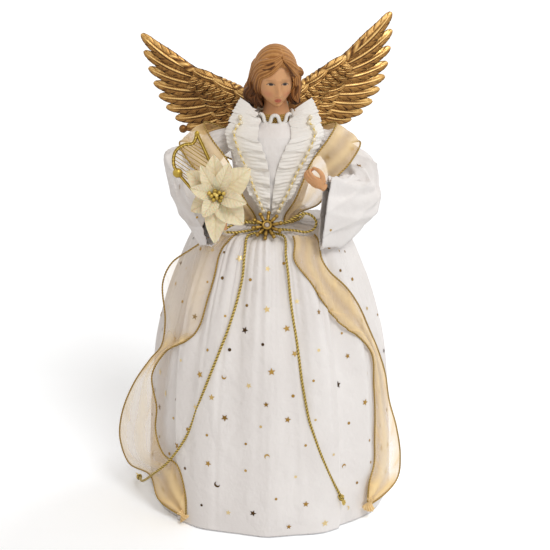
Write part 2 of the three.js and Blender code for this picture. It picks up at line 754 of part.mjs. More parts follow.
// Ribbon ends below the belt: degrees from the front, height, lift off the gown, for each edge
const TAIL_LEFT = {
  inner: [
    [20, 234.5, 4], [17, 224, 3.4], [25, 206, 2.4], [33, 187, 2.3], [43, 168, 2.4], [54, 152, 3], [62, 135, 4],
    [61, 113, 3], [60, 89, 3], [58, 65, 3], [58, 43, 3], [54, 29, 4], [53, 12, 5],
  ],
  outer: [
    [42, 234.5, 4], [39, 222, 3.7], [42, 211, 3.6], [50, 196, 4], [57, 178, 5], [64, 157, 5], [70, 136, 5],
    [74, 112, 6], [75, 88, 7], [72, 70, 13], [70, 50, 16], [65, 24, 13], [56, 6, 8],
  ],
};
const TAIL_RIGHT = {
  inner: [
    [-32, 236, 3], [-39, 226, 3], [-38, 209, 3], [-39, 191, 3], [-41, 168, 3], [-47, 155, 3], [-62, 138, 5],
    [-66, 117, 12], [-64, 90, 7], [-64, 70, 7], [-56, 54, 6], [-48, 50, 5], [-42, 28, 5], [-41, 9, 6],
  ],
  outer: [
    [-50, 234, 4], [-58, 221, 10], [-65, 206, 19], [-67, 190, 20], [-65, 164, 10], [-66, 142, 7],
    [-73, 126, 12], [-77, 103, 22], [-83, 68, 29], [-85, 44, 29], [-83, 25, 22], [-66, 28, 10],
    [-58, 13, 9], [-45, 6, 6],
  ],
};

function ribbonTail(edges, steps) {
  return sheet(between(edges.inner, edges.outer, onSkirt), steps, 2, ORGANZA);
}

// Cord: belt, bow and tails, each point chosen along the cord

const BROOCH_CENTRE = at(-2.4, -45, 5);
const KNOT_CENTRE = at(-2.4, -36.5, 2);
const KNOT_HALF = at(6.5, 7.9, 5);
const LOOP_LEFT = [
  at(4.3, -36, 4), at(13, -38, 6), at(24, -39, 12.5), at(31, -40, 13.5), at(37, -41, 8),
  at(36, -42, 2.5), at(30, -42.5, -0.8), at(19, -41, 0), at(4.4, -38, 0.3),
];
const LOOP_RIGHT = [
  at(-9.1, -36, 4.2), at(-18, -37, 5.5), at(-27, -38, 5), at(-36, -40, 0.5), at(-36.5, -42, -0.6),
  at(-30, -43.5, -1), at(-20, -42, -0.4), at(-9.2, -38, 0.3),
];
// degrees from the front, height, lift off the gown
const CORD_LEFT = [
  [13, 235, 5], [11.5, 227, 4.4], [11.7, 220, 4.2], [12, 213, 4], [12.1, 204, 3.8], [12.3, 195, 3.6],
  [13, 180, 3.6], [14, 165, 3.6], [14.7, 149, 3.6], [15.4, 133, 3.6], [16.6, 117, 3.6], [18.2, 100, 3.6],
  [20.3, 87, 3.6], [22.8, 73, 3.6], [25.6, 60, 3.7], [28.7, 47, 4], [33, 31, 5.4],
];
const CORD_RIGHT = [
  [-20, 235, 5], [-18.5, 227, 4.4], [-18, 212, 4], [-18.8, 201, 3.8], [-20, 190, 3.6], [-21.5, 179, 3.6],
  [-23.3, 167, 3.6], [-25.8, 153, 3.6], [-28.7, 138, 3.6], [-32.2, 122, 3.6], [-36, 106, 3.6],
  [-42, 78, 4.6], [-49.5, 53, 10], [-60.5, 33, 13], [-73, 18, 11], [-80, 10.5, 12], [-86, 8, 12.5],
];

function cordRoute(start, rows) {
  const down = rows.map(([angle, z, lift]) => onSkirt(radians(angle), z, lift));
  return [at(start.x, start.y, start.z + WAIST_Z), ...down];
}

// A knot with a short frayed tuft, at the end of a cord.
function endKnot(route) {
  const end = route.at(-1);
  const way = end.clone().sub(route.at(-2)).normalize();
  const profile = [
    [0, GAP], [1.6, GAP], [2.6, 1.8], [2.6, 3.4], [1.4, 5], [2.4, 11], [0, 11],
  ];
  const knot = new THREE.LatheGeometry(profile.map(([r, y]) => new THREE.Vector2(r, y)), 10);
  const turn = new THREE.Quaternion().setFromUnitVectors(at(0, 1, 0), way);
  return geometryOf(solid(knot.applyQuaternion(turn).translate(end.x, end.y, end.z)));
}

function cords() {
  const group = new THREE.Group();
  const upper = new THREE.Group();
  upper.position.z = WAIST_Z;
  const belt = (t) => at(beltRadius * Math.sin(t), -beltRadius * Math.cos(t), 1.6);
  const beltTube = cordLoop(belt, CORD_RADIUS, 30, 5);
  const beltGrown = solid(cordLoop(belt, CORD_RADIUS + GAP, 30, 5));
  const knot = solid(ellipsoid(KNOT_HALF, KNOT_CENTRE, 12, 8)).subtract(beltGrown);
  upper.add(
    mesh("belt_cord", beltTube, gilt),
    mesh("bow_knot", geometryOf(largest(knot)), gilt),
    mesh("bow_loop_left", tube(LOOP_LEFT, CORD_RADIUS, 16), gilt),
    mesh("bow_loop_right", tube(LOOP_RIGHT, CORD_RADIUS, 14), gilt),
  );
  const routes = {
    left: cordRoute(at(1.1, -41.3, -1.8), CORD_LEFT),
    right: cordRoute(at(-5.9, -41.3, -1.8), CORD_RIGHT),
  };
  for (const [side, route] of Object.entries(routes)) {
    group.add(mesh("cord_tail_" + side, tube(route, CORD_RADIUS, 28), gilt));
    group.add(mesh("tail_knot_" + side, endKnot(route), gilt));
  }
  group.add(upper);
  return group;
}

function brooch() {
  const group = new THREE.Group();
  group.position.copy(BROOCH_CENTRE);
  group.rotation.x = radians(-BROOCH_TILT);
  const depth = 2.4;
  const rays = Array.from({ length: BROOCH_RAYS }, (_, i) => {
    const angle = (2 * Math.PI * (i + 0.3)) / BROOCH_RAYS;
    const out = (r, y) => at(r * Math.cos(angle), y, r * Math.sin(angle));
    const route = [out(2, 0.2), out(0.6 * BROOCH_RADIUS, 0), out(BROOCH_RADIUS, 0.6)];
    return limb(route, [0.9, 1.1, 1.9, 0.8], 3, 4);
  });
  const boss = new THREE.CylinderGeometry(5.4, 5.8, depth, 12);
  const rim = new THREE.CylinderGeometry(4, 4, depth, 12).translate(0, -0.8, 0);
  const gem = (grow) => {
    const radius = BROOCH_PEARL_RADIUS + grow;
    const seatY = -depth / 2 - 0.8 - 0.5 * BROOCH_PEARL_RADIUS;
    return ellipsoid(at(radius, radius, radius), at(0, seatY, 0), 10, 6);
  };
  group.add(
    mesh("brooch", geometryOf(join([boss, rim, ...rays]).subtract(solid(gem(GAP)))), castGold),
    mesh("brooch_pearl", gem(0), pearl),
  );
  return group;
}

// Wings: three rows of overlapping feathers on a raised leading edge, in the wing's plane (out, up)

const WING_EDGE = [[12, 12], [27, 23], [45, 32], [62, 39], [86, 56]];
const PRIMARIES = {
  roots: [[60, 38], [55, 32], [50, 27], [45, 22], [39, 16], [33, 11], [27, 6], [21, 2]],
  tips: [[110, 74], [109, 55], [105, 37], [101, 22], [94, 9], [84, -3], [71, -11], [56, -15]],
  width: 16,
  front: 0,
};
const COVERTS = {
  roots: [[40, 29], [35, 24], [30, 18], [25, 11], [19, 5]],
  tips: [[74, 46], [67, 30], [59, 15], [48, 3], [34, -6]],
  width: 16,
  front: 2,
};
const SCAPULARS = {
  roots: [[24, 20], [19, 14], [14, 8]],
  tips: [[48, 32], [40, 18], [28, 5]],
  width: 14,
  front: 4,
};

// A feather with a raised shaft and a round tip, bowed a little towards the front.
function feather(root, tip, width, front) {
  const base = at(root[0], 0, root[1]);
  const along = at(tip[0] - root[0], 0, tip[1] - root[1]);
  const across = at(-along.z, 0, along.x).setLength(width / 2);
  const sections = [
    [0, 0.6], [0.72, 1], [1, 0.3],
  ];
  return loft(
    sections.map(([share, wide]) => {
      const middle = base.clone().addScaledVector(along, share);
      const forward = -front - 2 * Math.sin(Math.PI * share);
      const put = (side, y) => middle.clone().addScaledVector(across, side * wide).setY(forward + y);
      return [put(-1, 0.2), put(0, -1.9), put(1, 0.2), put(0, 1.6)];
    }),
  );
}

function wingShape() {
  const rows = [PRIMARIES, COVERTS, SCAPULARS];
  const feathers = rows.flatMap((row) =>
    row.roots.map((root, i) => feather(root, row.tips[i], row.width, row.front)),
  );
  const edge = limb(WING_EDGE.map(([u, v]) => at(u, -1, v)), [5.5, 5, 4, 2.2], 5, 6);
  return join([edge, ...feathers]);
}

function wings() {
  const group = new THREE.Group();
  group.position.set(LEAN * 0.8, CHEST_HALF_DEPTH + 3 * GAP, WING_Z);
  group.rotation.y = radians(-WING_ROLL);
  const tangY = PLATE_THICKNESS + GAP;
  const screwPlace = at(8, 0, 2);
  const drill = (side) => {
    const radius = SCREW_RADIUS + GAP;
    const hole = new THREE.CylinderGeometry(radius, radius, 4 * (tangY + TANG_THICKNESS), 12);
    return solid(hole.translate(side * screwPlace.x, 0, screwPlace.z));
  };
  const plate = new THREE.BoxGeometry(2 * PLATE_HALF_WIDTH, PLATE_THICKNESS, 2 * PLATE_HALF_HEIGHT);
  plate.translate(0, PLATE_THICKNESS / 2, 0);
  group.add(mesh("wing_plate", geometryOf(solid(plate).subtract(drill(1)).subtract(drill(-1))), card));
  const sweep = new THREE.Matrix4().makeRotationZ(radians(WING_SWEEP));
  sweep.setPosition(0, tangY + TANG_THICKNESS, 0);
  const blade = wingShape().transform(sweep.elements);
  const tang = new THREE.BoxGeometry(22, TANG_THICKNESS, 16).translate(14, tangY + TANG_THICKNESS / 2, 4);
  const screw = new THREE.LatheGeometry(
    [
      [0, 1], [SCREW_RADIUS, 1], [SCREW_RADIUS, tangY + TANG_THICKNESS + GAP],
      [SCREW_HEAD_RADIUS, tangY + TANG_THICKNESS + GAP],
      [SCREW_HEAD_RADIUS, tangY + TANG_THICKNESS + GAP + SCREW_HEAD],
      [0, tangY + TANG_THICKNESS + GAP + SCREW_HEAD],
    ].map(([r, y]) => new THREE.Vector2(r, y)),
    14,
  );
  const headRoom = solid(
    new THREE.CylinderGeometry(SCREW_HEAD_RADIUS + 1, SCREW_HEAD_RADIUS + 1, 40, 16).translate(
      screwPlace.x,
      tangY + TANG_THICKNESS + 20,
      screwPlace.z,
    ),
  );
  const plateRoom = solid(
    new THREE.BoxGeometry(60, 40, 60).translate(0, tangY - 20, 0),
  );
  const whole = blade.subtract(plateRoom).add(solid(tang)).subtract(headRoom).subtract(drill(1));
  for (const [name, side] of [["left", 1], ["right", -1]]) {
    const flip = new THREE.Matrix4().makeScale(side, 1, 1);
    const wing = whole.transform(flip.elements);
    group.add(mesh("wing_" + name, geometryOf(largest(wing)), castGold));
    const place = screw.clone().translate(side * screwPlace.x, 0, screwPlace.z);
    group.add(mesh("wing_screw_" + name, geometryOf(solid(place)), steel));
  }
  return group;
}

// Right hand's burden: the flower on its stem, and the harp behind it

const PETALS_OUTER = [
  // degrees in the flower's face, length, width
  [38, 33, 22], [95, 31, 18], [142, 30, 18], [212, 24, 17], [267, 38, 17], [311, 31, 22],
];
const PETALS_INNER = [
  [68, 27, 12], [118, 26, 12], [165, 21, 12], [238, 20, 12], [345, 24, 13],
];

function petal([angle, length, width], rise, droop, front) {
  const out = at(Math.cos(radians(angle)), 0, Math.sin(radians(angle)));
  const across = at(-out.z, 0, out.x);
  const sections = [
    [0.06, 0.25], [0.36, 0.94], [0.7, 0.84], [1, 0.06],
  ];
  return loft(
    sections.map(([share, wide]) => {
      const middle = out.clone().multiplyScalar(share * length);
      const y = -front - rise * Math.sin(0.6 * Math.PI * share) + droop * share * share;
      const cup = 0.14 * width * wide;
      const put = (side, depth) =>
        middle.clone().addScaledVector(across, (side * wide * width) / 2).setY(y + depth);
      return [put(-1, -cup), put(0, -PETAL_THICKNESS / 2), put(1, -cup), put(0, PETAL_THICKNESS / 2)];
    }),
  );
}

function flowerLayer(petals, rise, droop, front) {
  const heart = new THREE.CylinderGeometry(3.6, 3.6, 1.2, 12).translate(0, -front, 0);
  return join([heart, ...petals.map((row) => petal(row, rise, droop, front))]);
}

function stamens(front) {
  const pieces = [new THREE.CylinderGeometry(1.8, 1.8, 1, 10).translate(0, -front - 0.5, 0)];
  for (let i = 0; i < 5; i++) {
    const angle = (2 * Math.PI * i) / 4;
    const spread = i === 4 ? 0 : STAMEN_SPREAD;
    const tip = at(spread * Math.cos(angle), -front - STAMEN_LENGTH, spread * Math.sin(angle));
    const foot = at(0.4 * tip.x, -front - 0.4, 0.4 * tip.z);
    pieces.push(limb([foot, tip], [0.5, 0.5], 1, 4));
    pieces.push(new THREE.IcosahedronGeometry(1.2, 0).translate(tip.x, tip.y, tip.z));
  }
  return join(pieces);
}

// Harp outline points: across, height above the waist line
const HARP_PEAK = [-56.5, 86.5];
const HARP_FOOT = [-41, 17];
const HARP_NECK = [HARP_PEAK, [-59.5, 79], [-67, 77.5], [-73.5, 72], [-75, 62], [-72, 55]];
const HARP_BOX = [HARP_PEAK, [-51, 74], [-45.6, 60], [-42.5, 40], HARP_FOOT];

function harp() {
  const flat = ([x, z]) => at(x, HARP_Y, z);
  const neck = HARP_NECK.map(flat);
  const box = HARP_BOX.map(flat);
  const ball = neck.at(-1);
  const neckCurve = new THREE.CatmullRomCurve3(neck);
  const boxCurve = new THREE.CatmullRomCurve3(box);
  const pieces = [
    limb(neck, [2.2, 1.6, 1.8, 1.5], 9, 5),
    limb(box, [1.8, 2.2, 2.8], 5, 5),
    limb([ball, flat(HARP_FOOT)], [1.6, 1.6], 1, 5),
    ellipsoid(at(3.6, 3.2, 3.6), ball, 8, 6),
    ellipsoid(at(2.6, 2.4, 3), flat(HARP_PEAK), 6, 5),
    ellipsoid(at(3.8, 3.2, 3.2), flat(HARP_FOOT), 6, 5),
  ];
  for (let i = 0; i < STRINGS; i++) {
    const share = (i + 0.6) / STRINGS;
    const ends = [neckCurve.getPointAt(share * 0.92 + 0.04), boxCurve.getPointAt(share * 0.72 + 0.06)];
    pieces.push(limb(ends, [STRING_RADIUS, STRING_RADIUS], 1, 3));
  }
  return join(pieces);
}

function hands() {
  const group = new THREE.Group();
  const flower = new THREE.Group();
  flower.position.copy(FLOWER_CENTRE);
  flower.rotation.x = radians(-FLOWER_TILT);
  flower.updateMatrix();
  const heartBack = at(0, 1 + GAP, 0).applyMatrix4(flower.matrix);
  const grip = at(15, 4.6, 0).applyMatrix4(handFrame(ARMS.right));
  const below = grip.clone().add(at(1.5, 4, -8));
  const stemRoute = [below, grip, grip.clone().lerp(heartBack, 0.6), heartBack];
  const stem = (grow) => tube(stemRoute, STEM_RADIUS + grow, 8, 8);
  const rightHand = placedHand(ARMS.right, 0).subtract(solid(stem(GAP)));
  const blocked = placedHand(ARMS.right, GAP).add(solid(stem(GAP)));
  const innerFront = 2.1 + GAP;
  group.add(
    mesh("hand_left", geometryOf(placedHand(ARMS.left, 0)), skin),
    mesh("hand_right", geometryOf(largest(rightHand)), skin),
    mesh("harp", geometryOf(largest(harp().subtract(blocked))), castGold),
    mesh("poinsettia_stem", stem(0), ivory),
  );
  flower.add(
    mesh("poinsettia_outer", geometryOf(flowerLayer(PETALS_OUTER, 2, 6, 0)), ivory),
    mesh("poinsettia_inner", geometryOf(flowerLayer(PETALS_INNER, 8, 2, innerFront)), ivory),
    mesh("poinsettia_stamens", geometryOf(stamens(innerFront + 1.6 + GAP)), gilt),
  );
  group.add(flower);
  return group;
}

// The whole figure

const topper = new THREE.Group();
const upperBody = new THREE.Group();
upperBody.position.z = WAIST_Z;
upperBody.add(
  bust(),
  trim(),
  mesh("stole", stole(), ribbon),
  brooch(),
  wings(),
  hands(),
);
topper.add(
  base(),
  upperBody,
  mesh("stole_tail_left", ribbonTail(TAIL_LEFT, 36), ribbon),
  mesh("stole_tail_right", ribbonTail(TAIL_RIGHT, 40), ribbon),
  cords(),
);

export default topper;
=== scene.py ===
"""Looks of the angel tree topper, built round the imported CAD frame.

Lengths in the tables are millimetres, as in the part's source, and every mesh is made in metres.
+Z is up, the figure faces -Y, and left and right are the figure's own.
"""

import math

import bpy
import numpy as np
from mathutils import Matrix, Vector


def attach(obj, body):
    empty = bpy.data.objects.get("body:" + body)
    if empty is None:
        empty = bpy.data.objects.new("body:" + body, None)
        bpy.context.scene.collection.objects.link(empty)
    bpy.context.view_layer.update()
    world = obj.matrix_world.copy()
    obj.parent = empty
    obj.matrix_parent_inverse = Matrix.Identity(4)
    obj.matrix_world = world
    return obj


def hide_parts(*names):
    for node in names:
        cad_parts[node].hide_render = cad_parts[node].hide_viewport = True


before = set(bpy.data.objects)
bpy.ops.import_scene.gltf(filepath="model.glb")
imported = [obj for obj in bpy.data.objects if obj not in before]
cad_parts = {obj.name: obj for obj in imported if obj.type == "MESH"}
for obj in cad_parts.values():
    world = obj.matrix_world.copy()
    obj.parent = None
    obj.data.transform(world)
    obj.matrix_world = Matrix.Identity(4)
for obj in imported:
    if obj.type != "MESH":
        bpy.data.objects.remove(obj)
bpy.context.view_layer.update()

MM = 0.001
TAU = 2 * math.pi
WAIST = 243.0
rng = np.random.default_rng(11)


def placed(name, data):
    """A new object in the scene."""
    made = bpy.data.objects.new(name, data)
    bpy.context.scene.collection.objects.link(made)
    return made


# Camera, at the photograph's angle. The picture is as wide as PICTURE in pixels

PICTURE = 550
CAMERA_TILT = 18
camera_data = bpy.data.cameras.new("camera")
camera_data.sensor_width = 36
camera_data.lens = 107.8
camera_data.shift_x = 0.0091
camera_data.shift_y = -0.041
camera = placed("camera", camera_data)
camera.location = (0, -1.3077, 0.6359)
camera.rotation_euler = (math.radians(90 - CAMERA_TILT), 0, 0)
bpy.context.scene.camera = camera
bpy.context.scene.view_settings.view_transform = "Standard"


# Curves, as the part's source draws them


def unit(v):
    return v / np.maximum(np.linalg.norm(v, axis=-1, keepdims=True), 1e-12)


def smooth(x, low, high):
    t = np.clip((np.asarray(x, float) - low) / (high - low), 0, 1)
    return t * t * (3 - 2 * t)


def hump(x, width):
    """1 at x = 0, and less on both sides of it."""
    return np.exp(-((x / width) ** 2))


def swell(x):
    """A cosine that runs from 0 to 1."""
    return 0.5 + 0.5 * np.cos(x)


def full_turn(count):
    """Angles of one turn, the same step apart."""
    return np.arange(count) * TAU / count


def hermite(x1, x2, t1, t2, w):
    return x1 + t1 * w + (-3 * x1 + 3 * x2 - 2 * t1 - t2) * w**2 + (2 * x1 - 2 * x2 + t1 + t2) * w**3


def catmull(points, shares):
    """Centripetal Catmull-Rom curve through the points, at shares from 0 to 1."""
    p = np.asarray(points, float)
    place = np.clip(np.atleast_1d(np.asarray(shares, float)), 0, 1) * (len(p) - 1)
    i = np.minimum(place.astype(int), len(p) - 2)
    w = (place - i)[:, None]
    ends = np.vstack([2 * p[0] - p[1], p, 2 * p[-1] - p[-2]])
    x0, x1, x2, x3 = (ends[i + k] for k in range(4))
    d0, d1, d2 = (
        np.sqrt(np.linalg.norm(b - a, axis=1))[:, None] for a, b in ((x0, x1), (x1, x2), (x2, x3))
    )
    d1 = np.where(d1 < 1e-4, 1, d1)
    d0 = np.where(d0 < 1e-4, d1, d0)
    d2 = np.where(d2 < 1e-4, d1, d2)
    t1 = ((x1 - x0) / d0 - (x2 - x0) / (d0 + d1) + (x2 - x1) / d1) * d1
    t2 = ((x2 - x1) / d1 - (x3 - x1) / (d1 + d2) + (x3 - x2) / d2) * d1
    return hermite(x1, x2, t1, t2, w)


def spline(points, shares):
    """Uniform Catmull-Rom curve with its end points held, at shares from 0 to 1."""
    place = np.clip(shares, 0, 1) * (len(points) - 1)
    i = np.minimum(place.astype(int), len(points) - 2)
    w = (place - i)[:, None]
    p0, p1, p2, p3 = (points[np.clip(i + k, 0, len(points) - 1)] for k in (-1, 0, 1, 2))
    return hermite(p1, p2, (p2 - p0) / 2, (p3 - p1) / 2, w)


def even(path, step):
    """The path again, with points the same step apart."""
    far = np.concatenate([[0], np.cumsum(np.linalg.norm(np.diff(path, axis=0), axis=1))])
    count = max(4, int(round(far[-1] / step)))
    places = np.linspace(0, far[-1], count + 1)
    return np.stack([np.interp(places, far, path[:, k]) for k in range(3)], 1)


def turned(points, rotation, origin):
    return np.asarray(points, float) @ np.asarray(rotation, float).T + np.asarray(origin, float)


def rot_x(degrees):
    c, s = math.cos(math.radians(degrees)), math.sin(math.radians(degrees))
    return np.array([[1, 0, 0], [0, c, -s], [0, s, c]])


def rot_y(degrees):
    c, s = math.cos(math.radians(degrees)), math.sin(math.radians(degrees))
    return np.array([[c, 0, s], [0, 1, 0], [-s, 0, c]])


def rot_z(degrees):
    c, s = math.cos(math.radians(degrees)), math.sin(math.radians(degrees))
    return np.array([[c, -s, 0], [s, c, 0], [0, 0, 1]])


# Gown: the bell that tails and cords lie on

SKIRT_SHAPE = [(0.35, 0.15), (0.6, 0.29), (0.79, 0.43), (0.91, 0.62), (0.98, 0.82), (1, 1)]
SKIRT = np.array(
    [(23.8, 246), (25.8, 239), (45.0, 236), (58, 229)]
    + [(58 + 42 * out, 229 - 228.2 * down) for out, down in SKIRT_SHAPE],
    float,
)
SKIRT_SHARES = np.linspace(0, 1, 6001)
SKIRT_HEIGHTS = spline(SKIRT, SKIRT_SHARES)[:, 1]


def skirt_share(z):
    return np.interp(z, SKIRT_HEIGHTS[::-1], SKIRT_SHARES[::-1])


def skirt_fold(angle, share):
    wave = swell(12 * angle + 1.1 * np.sin(2 * angle) + 0.6)
    return 4 * wave * smooth(share, 0.05, 0.35) * (1 - 0.6 * smooth(share, 0.5, 1))


def on_skirt_share(angle, share, lift, folded=1.0):
    angle, share, lift = np.broadcast_arrays(*(np.asarray(x, float) for x in (angle, share, lift)))
    shares = share.ravel()
    place = spline(SKIRT, shares)
    way = unit(spline(SKIRT, shares + 1e-4) - spline(SKIRT, shares - 1e-4))
    out = (lift + folded * skirt_fold(angle, share)).ravel()
    radius = place[:, 0] - way[:, 1] * out
    a = angle.ravel()
    found = np.stack([radius * np.sin(a), -radius * np.cos(a), place[:, 1] + way[:, 0] * out], 1)
    return found.reshape(angle.shape + (3,))


def on_skirt(angle, z, lift):
    return on_skirt_share(angle, skirt_share(z), lift)


# Bust: ellipses stacked from the waist to the neck

BODY = np.array(
    [(-6, 23, 23), (4, 23.5, 23.5), (18, 28, 26.5), (45, 33, 30), (63, 35, 30), (74, 30, 25), (82, 15, 15)],
    float,
)


def body_size(height):
    t, rows = BODY[:, 0], BODY[:, 1:]
    h = np.clip(height, t[0], t[-1])
    i1 = np.clip(np.searchsorted(t, h, side="right"), 1, len(t) - 1)
    i0 = i1 - 1
    first, last = i0 == 0, i1 == len(t) - 1
    prev = np.where(first, i1, i0 - 1)
    follow = np.where(last, i0, np.minimum(i1 + 1, len(t) - 1))
    half = (t[i1] - t[i0]) / 2
    wp = np.where(first, -0.5, half / np.where(first, 1, t[i0] - t[prev]))
    wn = np.where(last, -0.5, half / np.where(last, 1, t[follow] - t[i1]))
    p = (h - t[i0]) / (t[i1] - t[i0])
    sp = -wp * p**3 + 2 * wp * p**2 - wp * p
    s0 = (1 + wp) * p**3 + (-1.5 - 2 * wp) * p**2 + (-0.5 + wp) * p + 1
    s1 = (-1 - wn) * p**3 + (1.5 + wn) * p**2 + 0.5 * p
    sn = wn * p**3 - wn * p**2
    weights = (sp, s0, s1, sn)
    return sum(s[..., None] * rows[i] for s, i in zip(weights, (prev, i0, i1, follow)))


def on_body(angle, height, lift):
    angle, height, lift = np.broadcast_arrays(*(np.asarray(x, float) for x in (angle, height, lift)))
    size = body_size(height) + lift[..., None]
    x = 4 * height / 82 + size[..., 0] * np.sin(angle)
    return np.stack([x, -size[..., 1] * np.cos(angle), WAIST + height], -1)


# Cord routes: start above the waist line, then degrees from the front, height and lift off the gown

CORD_RADIUS = 1.15
BELT_RADIUS = 28
CORD_LEFT_START = (1.1, -41.3, -1.8 + WAIST)
CORD_LEFT = [
    (13, 235, 5), (11.5, 227, 4.4), (11.7, 220, 4.2), (12, 213, 4), (12.1, 204, 3.8), (12.3, 195, 3.6),
    (13, 180, 3.6), (14, 165, 3.6), (14.7, 149, 3.6), (15.4, 133, 3.6), (16.6, 117, 3.6), (18.2, 100, 3.6),
    (20.3, 87, 3.6), (22.8, 73, 3.6), (25.6, 60, 3.7), (28.7, 47, 4), (33, 31, 5.4),
]
CORD_RIGHT_START = (-5.9, -41.3, -1.8 + WAIST)
CORD_RIGHT = [
    (-20, 235, 5), (-18.5, 227, 4.4), (-18, 212, 4), (-18.8, 201, 3.8), (-20, 190, 3.6), (-21.5, 179, 3.6),
    (-23.3, 167, 3.6), (-25.8, 153, 3.6), (-28.7, 138, 3.6), (-32.2, 122, 3.6), (-36, 106, 3.6),
    (-42, 78, 4.6), (-49.5, 53, 10), (-60.5, 33, 13), (-73, 18, 11), (-80, 10.5, 12), (-86, 8, 12.5),
]
LOOP_LEFT = np.array(
    [
        (4.3, -36, 4), (13, -38, 6), (24, -39, 12.5), (31, -40, 13.5), (37, -41, 8), (36, -42, 2.5),
        (30, -42.5, -0.8), (19, -41, 0), (4.4, -38, 0.3),
    ]
) + (0, 0, WAIST)
LOOP_RIGHT = np.array(
    [
        (-9.1, -36, 4.2), (-18, -37, 5.5), (-27, -38, 5), (-36, -40, 0.5), (-36.5, -42, -0.6),
        (-30, -43.5, -1), (-20, -42, -0.4), (-9.2, -38, 0.3),
    ]
) + (0, 0, WAIST)


def cord_route(start, rows):
    rows = np.array(rows, float)
    return np.vstack([start, on_skirt(np.radians(rows[:, 0]), rows[:, 1], rows[:, 2])])


# Meshes


class Shape:
    """Points, faces and named values per point, gathered into one mesh."""

    def __init__(self):
        self.points, self.faces, self.values, self.count = [], [], {}, 0

    def add(self, points, faces, **values):
        points = np.asarray(points, float).reshape(-1, 3)
        self.points.append(points)
        self.faces += [[int(k) + self.count for k in face] for face in faces]
        for name, value in values.items():
            flat = np.broadcast_to(np.asarray(value, float).ravel(), (len(points),))
            self.values.setdefault(name, []).append((self.count, flat))
        self.count += len(points)
        return self

    def grid(self, points, wrap_rows=False, wrap_columns=False, cap=False, **values):
        """A surface through rows of points. Closed rings can be capped at both ends."""
        rows, columns = points.shape[:2]
        i = np.arange(rows if wrap_rows else rows - 1)[:, None]
        j = np.arange(columns if wrap_columns else columns - 1)[None, :]
        ni, nj = (i + 1) % rows, (j + 1) % columns
        faces = np.stack(
            [
                x + 0 * i + 0 * j
                for x in (i * columns + j, i * columns + nj, ni * columns + nj, ni * columns + j)
            ],
            -1,
        )
        faces = faces.reshape(-1, 4).tolist()
        if cap:
            faces.append(list(range(columns))[::-1])
            faces.append(list(range((rows - 1) * columns, rows * columns)))
        return self.add(points, faces, **values)

    def tube(self, path, radius, sides=12, **values):
        """A round bar along a path. Its radius is one number, one per point, or one per point and side."""
        path = np.asarray(path, float)
        way = unit(np.gradient(path, axis=0))
        start = np.array([0, 0, 1.0]) if abs(way[0, 2]) < 0.9 else np.array([1.0, 0, 0])
        normal = unit(start - way[0] * (start @ way[0]))
        normals = [normal]
        for step in way[1:]:
            normal = unit(normal - step * (normal @ step))
            normals.append(normal)
        normals = np.array(normals)
        others = np.cross(way, normals)
        angle = full_turn(sides)
        reach = np.asarray(radius, float)
        reach = np.broadcast_to(reach.reshape(-1, 1) if reach.ndim < 2 else reach, (len(path), sides))
        rings = path[:, None] + reach[..., None] * (
            np.cos(angle)[None, :, None] * normals[:, None] + np.sin(angle)[None, :, None] * others[:, None]
        )
        return self.grid(rings, wrap_columns=True, cap=True, **values)

    def rope(self, path, radius, plies=3, pitch=6.5, sides=18):
        """Twisted plies along a path. The crest value is 1 on a ply and 0 between two."""
        path = even(path, 0.5)
        turn = TAU * 0.5 * np.arange(len(path)) / pitch
        angle = full_turn(sides)
        crest = swell(plies * (angle[None, :] - turn[:, None]))
        return self.tube(path, radius * (0.68 + 0.32 * crest**0.7), sides, crest=crest)

    def ball(self, centre, radii, around=20, down=12, rotation=np.eye(3), **values):
        a = full_turn(around)
        b = np.linspace(0.02, math.pi - 0.02, down)
        points = np.stack(
            [np.sin(b)[:, None] * np.cos(a), np.sin(b)[:, None] * np.sin(a), np.cos(b)[:, None] + 0 * a], -1
        )
        return self.grid(turned(points * radii, rotation, centre), wrap_columns=True, cap=True, **values)

    def make(self, name, finish, body="figure", slot=None, nodes=()):
        mesh = bpy.data.meshes.new(name)
        mesh.from_pydata((np.vstack(self.points) * MM).tolist(), [], self.faces)
        mesh.polygons.foreach_set("use_smooth", np.ones(len(mesh.polygons), bool))
        for key, parts in self.values.items():
            whole = np.zeros(self.count, np.float32)
            for start, part in parts:
                whole[start : start + len(part)] = part
            mesh.attributes.new(key, "FLOAT", "POINT").data.foreach_set("value", whole)
        mesh.materials.append(finish)
        made = placed(name, mesh)
        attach(made, body)
        if nodes:
            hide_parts(*nodes)
        return made


def thicken(piece, millimetres):
    solid = piece.modifiers.new("cloth", "SOLIDIFY")
    solid.thickness = millimetres * MM
    solid.offset = 0
    return piece


# Materials


class Nodes:
    """A node tree, with short ways to add what the finishes and the room share."""

    def __init__(self, tree):
        self.tree = tree

    def node(self, kind, inputs=(), **settings):
        made = self.tree.nodes.new(kind)
        for key, value in settings.items():
            setattr(made, key, value)
        for key, value in dict(inputs).items():
            if isinstance(value, bpy.types.NodeSocket):
                self.tree.links.new(value, made.inputs[key])
            else:
                made.inputs[key].default_value = value
        return made

    def math(self, operation, a, b=0.0, clamp=False):
        return self.node("ShaderNodeMath", {0: a, 1: b}, operation=operation, use_clamp=clamp).outputs[0]

    def mix(self, fac, a, b):
        a, b = ((*colour, 1) if isinstance(colour, tuple) else colour for colour in (a, b))
        return self.node("ShaderNodeMix", {0: fac, 6: a, 7: b}, data_type="RGBA").outputs[2]


